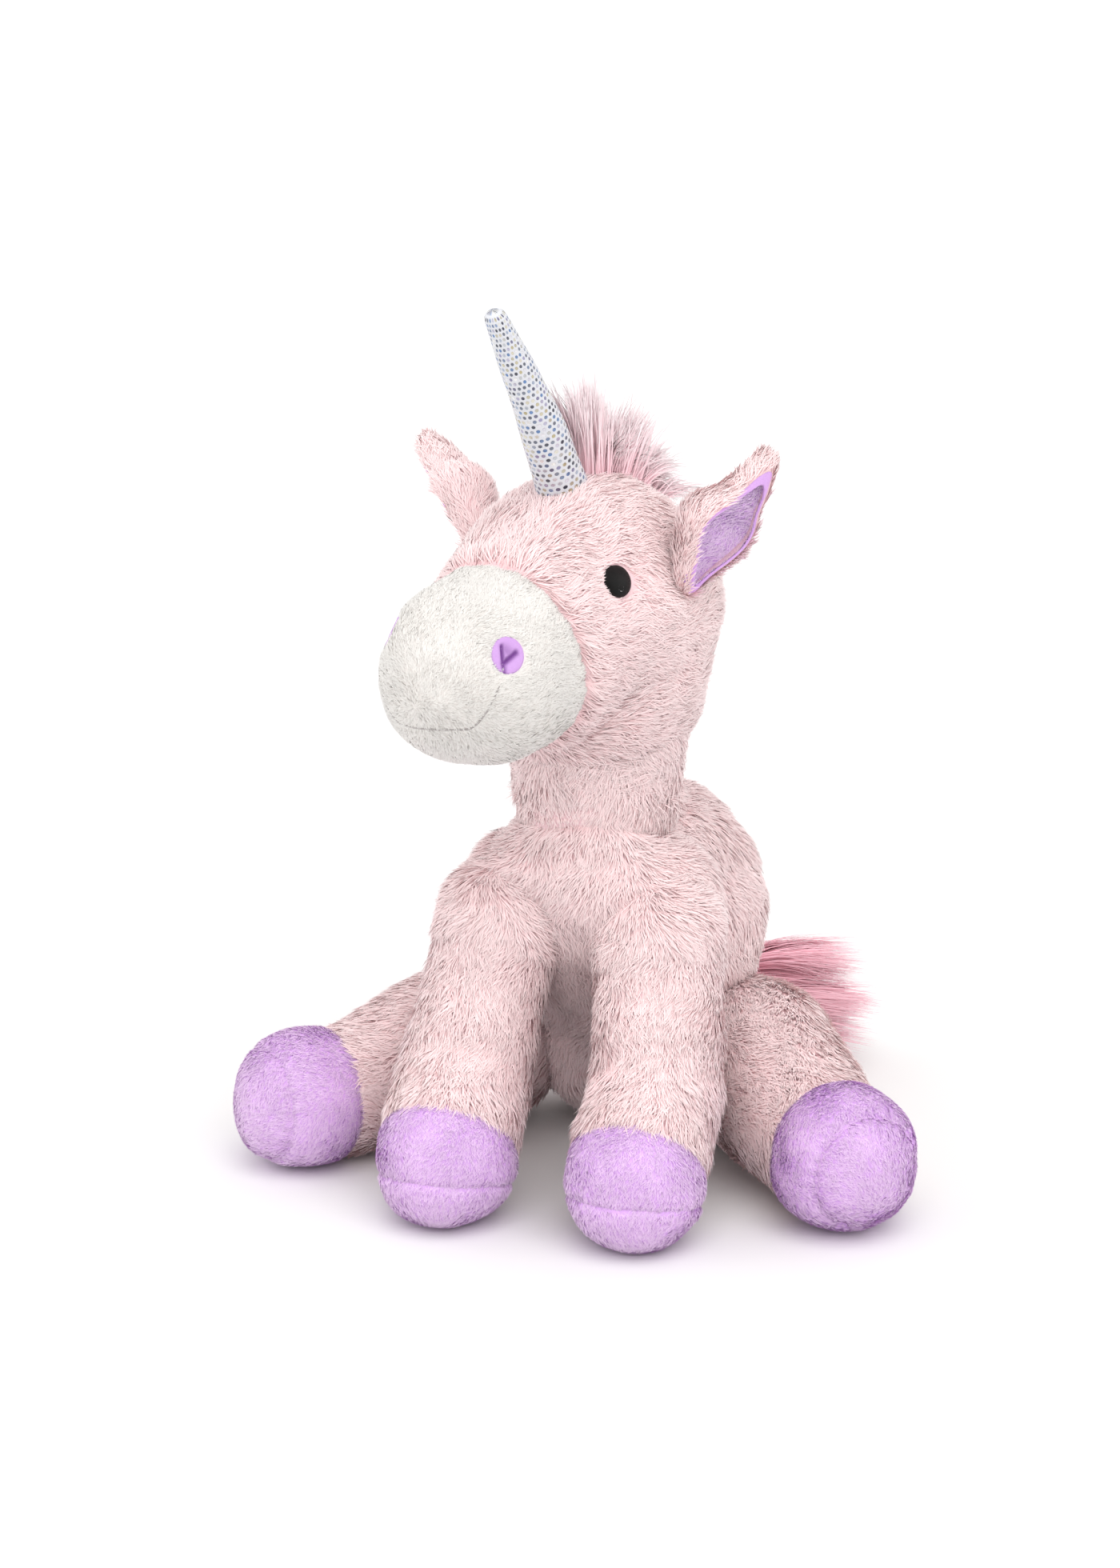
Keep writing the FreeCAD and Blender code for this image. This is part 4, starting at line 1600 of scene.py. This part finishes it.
@dataclass
class Studio:
    """The pale floor, the soft light and the camera."""

    azimuth: float = 17.0
    elevation: float = 16.0
    distance: float = 1.2
    height: float = 0.549  # how much of the toy's plane the view takes in
    sky: float = 0.85
    key: float = 1.6
    fill: float = 0.45
    spread: float = 60.0  # degrees that each light is wide

    def build(self) -> None:
        """Sets up the floor, the lights and the camera."""
        bm = bmesh.new()
        bmesh.ops.create_grid(bm, x_segments=1, y_segments=1, size=80.0)
        floor = mesh_object("floor", bm)
        floor.data.materials.append(self.floor_material())
        world = bpy.data.worlds.new("studio")
        bpy.context.scene.world = world
        world.use_nodes = True
        world.node_tree.nodes["Background"].inputs[0].default_value = (1.0, 0.99, 0.98, 1)
        world.node_tree.nodes["Background"].inputs[1].default_value = self.sky
        target = mm(0, -100, 158)
        self.light("key", mm(500, -800, 1300), self.key)
        self.light("fill", mm(-1100, -500, 600), self.fill)
        a, e = math.radians(self.azimuth), math.radians(self.elevation)
        back = np.array((math.sin(a) * math.cos(e), -math.cos(a) * math.cos(e), math.sin(e)))
        camera = bpy.data.cameras.new("camera")
        camera.sensor_fit = "VERTICAL"
        camera.angle = 2 * math.atan(self.height / 2 / self.distance)
        holder = bpy.data.objects.new("camera", camera)
        bpy.context.scene.collection.objects.link(holder)
        holder.location = Vector(target + back * self.distance)
        holder.rotation_euler = Vector(-back).to_track_quat("-Z", "Y").to_euler()
        bpy.context.scene.camera = holder
        bpy.context.scene.view_settings.view_transform = "Standard"

    def floor_material(self) -> bpy.types.Material:
        """Plain pale paper."""
        made = bpy.data.materials.new("floor paper")
        made.use_nodes = True
        shader = made.node_tree.nodes["Principled BSDF"]
        shader.inputs["Base Color"].default_value = (0.86, 0.86, 0.86, 1)
        shader.inputs["Roughness"].default_value = 0.9
        return made

    def light(self, name: str, at: Array, power: float) -> None:
        """One broad, soft light from the given side."""
        lamp = bpy.data.lights.new(name, "SUN")
        lamp.angle = math.radians(self.spread)
        lamp.energy = power
        holder = bpy.data.objects.new(name, lamp)
        bpy.context.scene.collection.objects.link(holder)
        holder.rotation_euler = Vector(-at).to_track_quat("-Z", "Y").to_euler()


def main() -> None:
    """Builds the unicorn's looks round its frame."""
    logging.basicConfig(level=logging.INFO, format="%(message)s")
    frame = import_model()
    plan = Plan(frame)
    Studio().build()
    body = [plan.trunk]
    parts: list[object] = [Torso(plan), Neck(plan), Head(plan), Horn(plan), Mane(plan), Tail(plan)]
    for i, side in enumerate(Side):
        fore, hind = plan.foreleg(side), plan.hindleg(side)
        down = np.array((0.0, -0.25, -1.0))
        foreleg = Leg(
            name=f"{side.word}_foreleg",
            shank=fore[0],
            hoof=fore[1],
            seam_share=0.75,
            sole_aim=down,
            sole_inset=18 * MM,
            neighbours=body,
            seed=100 + i,
        )
        hindleg = Leg(
            name=f"{side.word}_hindleg",
            shank=hind[0],
            hoof=hind[1],
            seam_share=0.3,
            sole_aim=hind[1].axis,
            sole_inset=12 * MM,
            neighbours=body,
            seed=200 + i,
        )
        parts += [foreleg, hindleg]
    parts.append(Ear(plan, Side.LEFT, splay=30.0, back=8.0))
    parts.append(Ear(plan, Side.RIGHT, splay=48.0, back=20.0))
    for part in parts:
        part.build()
        LOG.info("built %s", getattr(part, "name", type(part).__name__))
    for name in ("mane_tape", "tail_tab"):
        node = frame["nodes"][name]
        node.data.materials.clear()
        node.data.materials.append(TAPE.material())


if __name__ == "__main__":
    main()
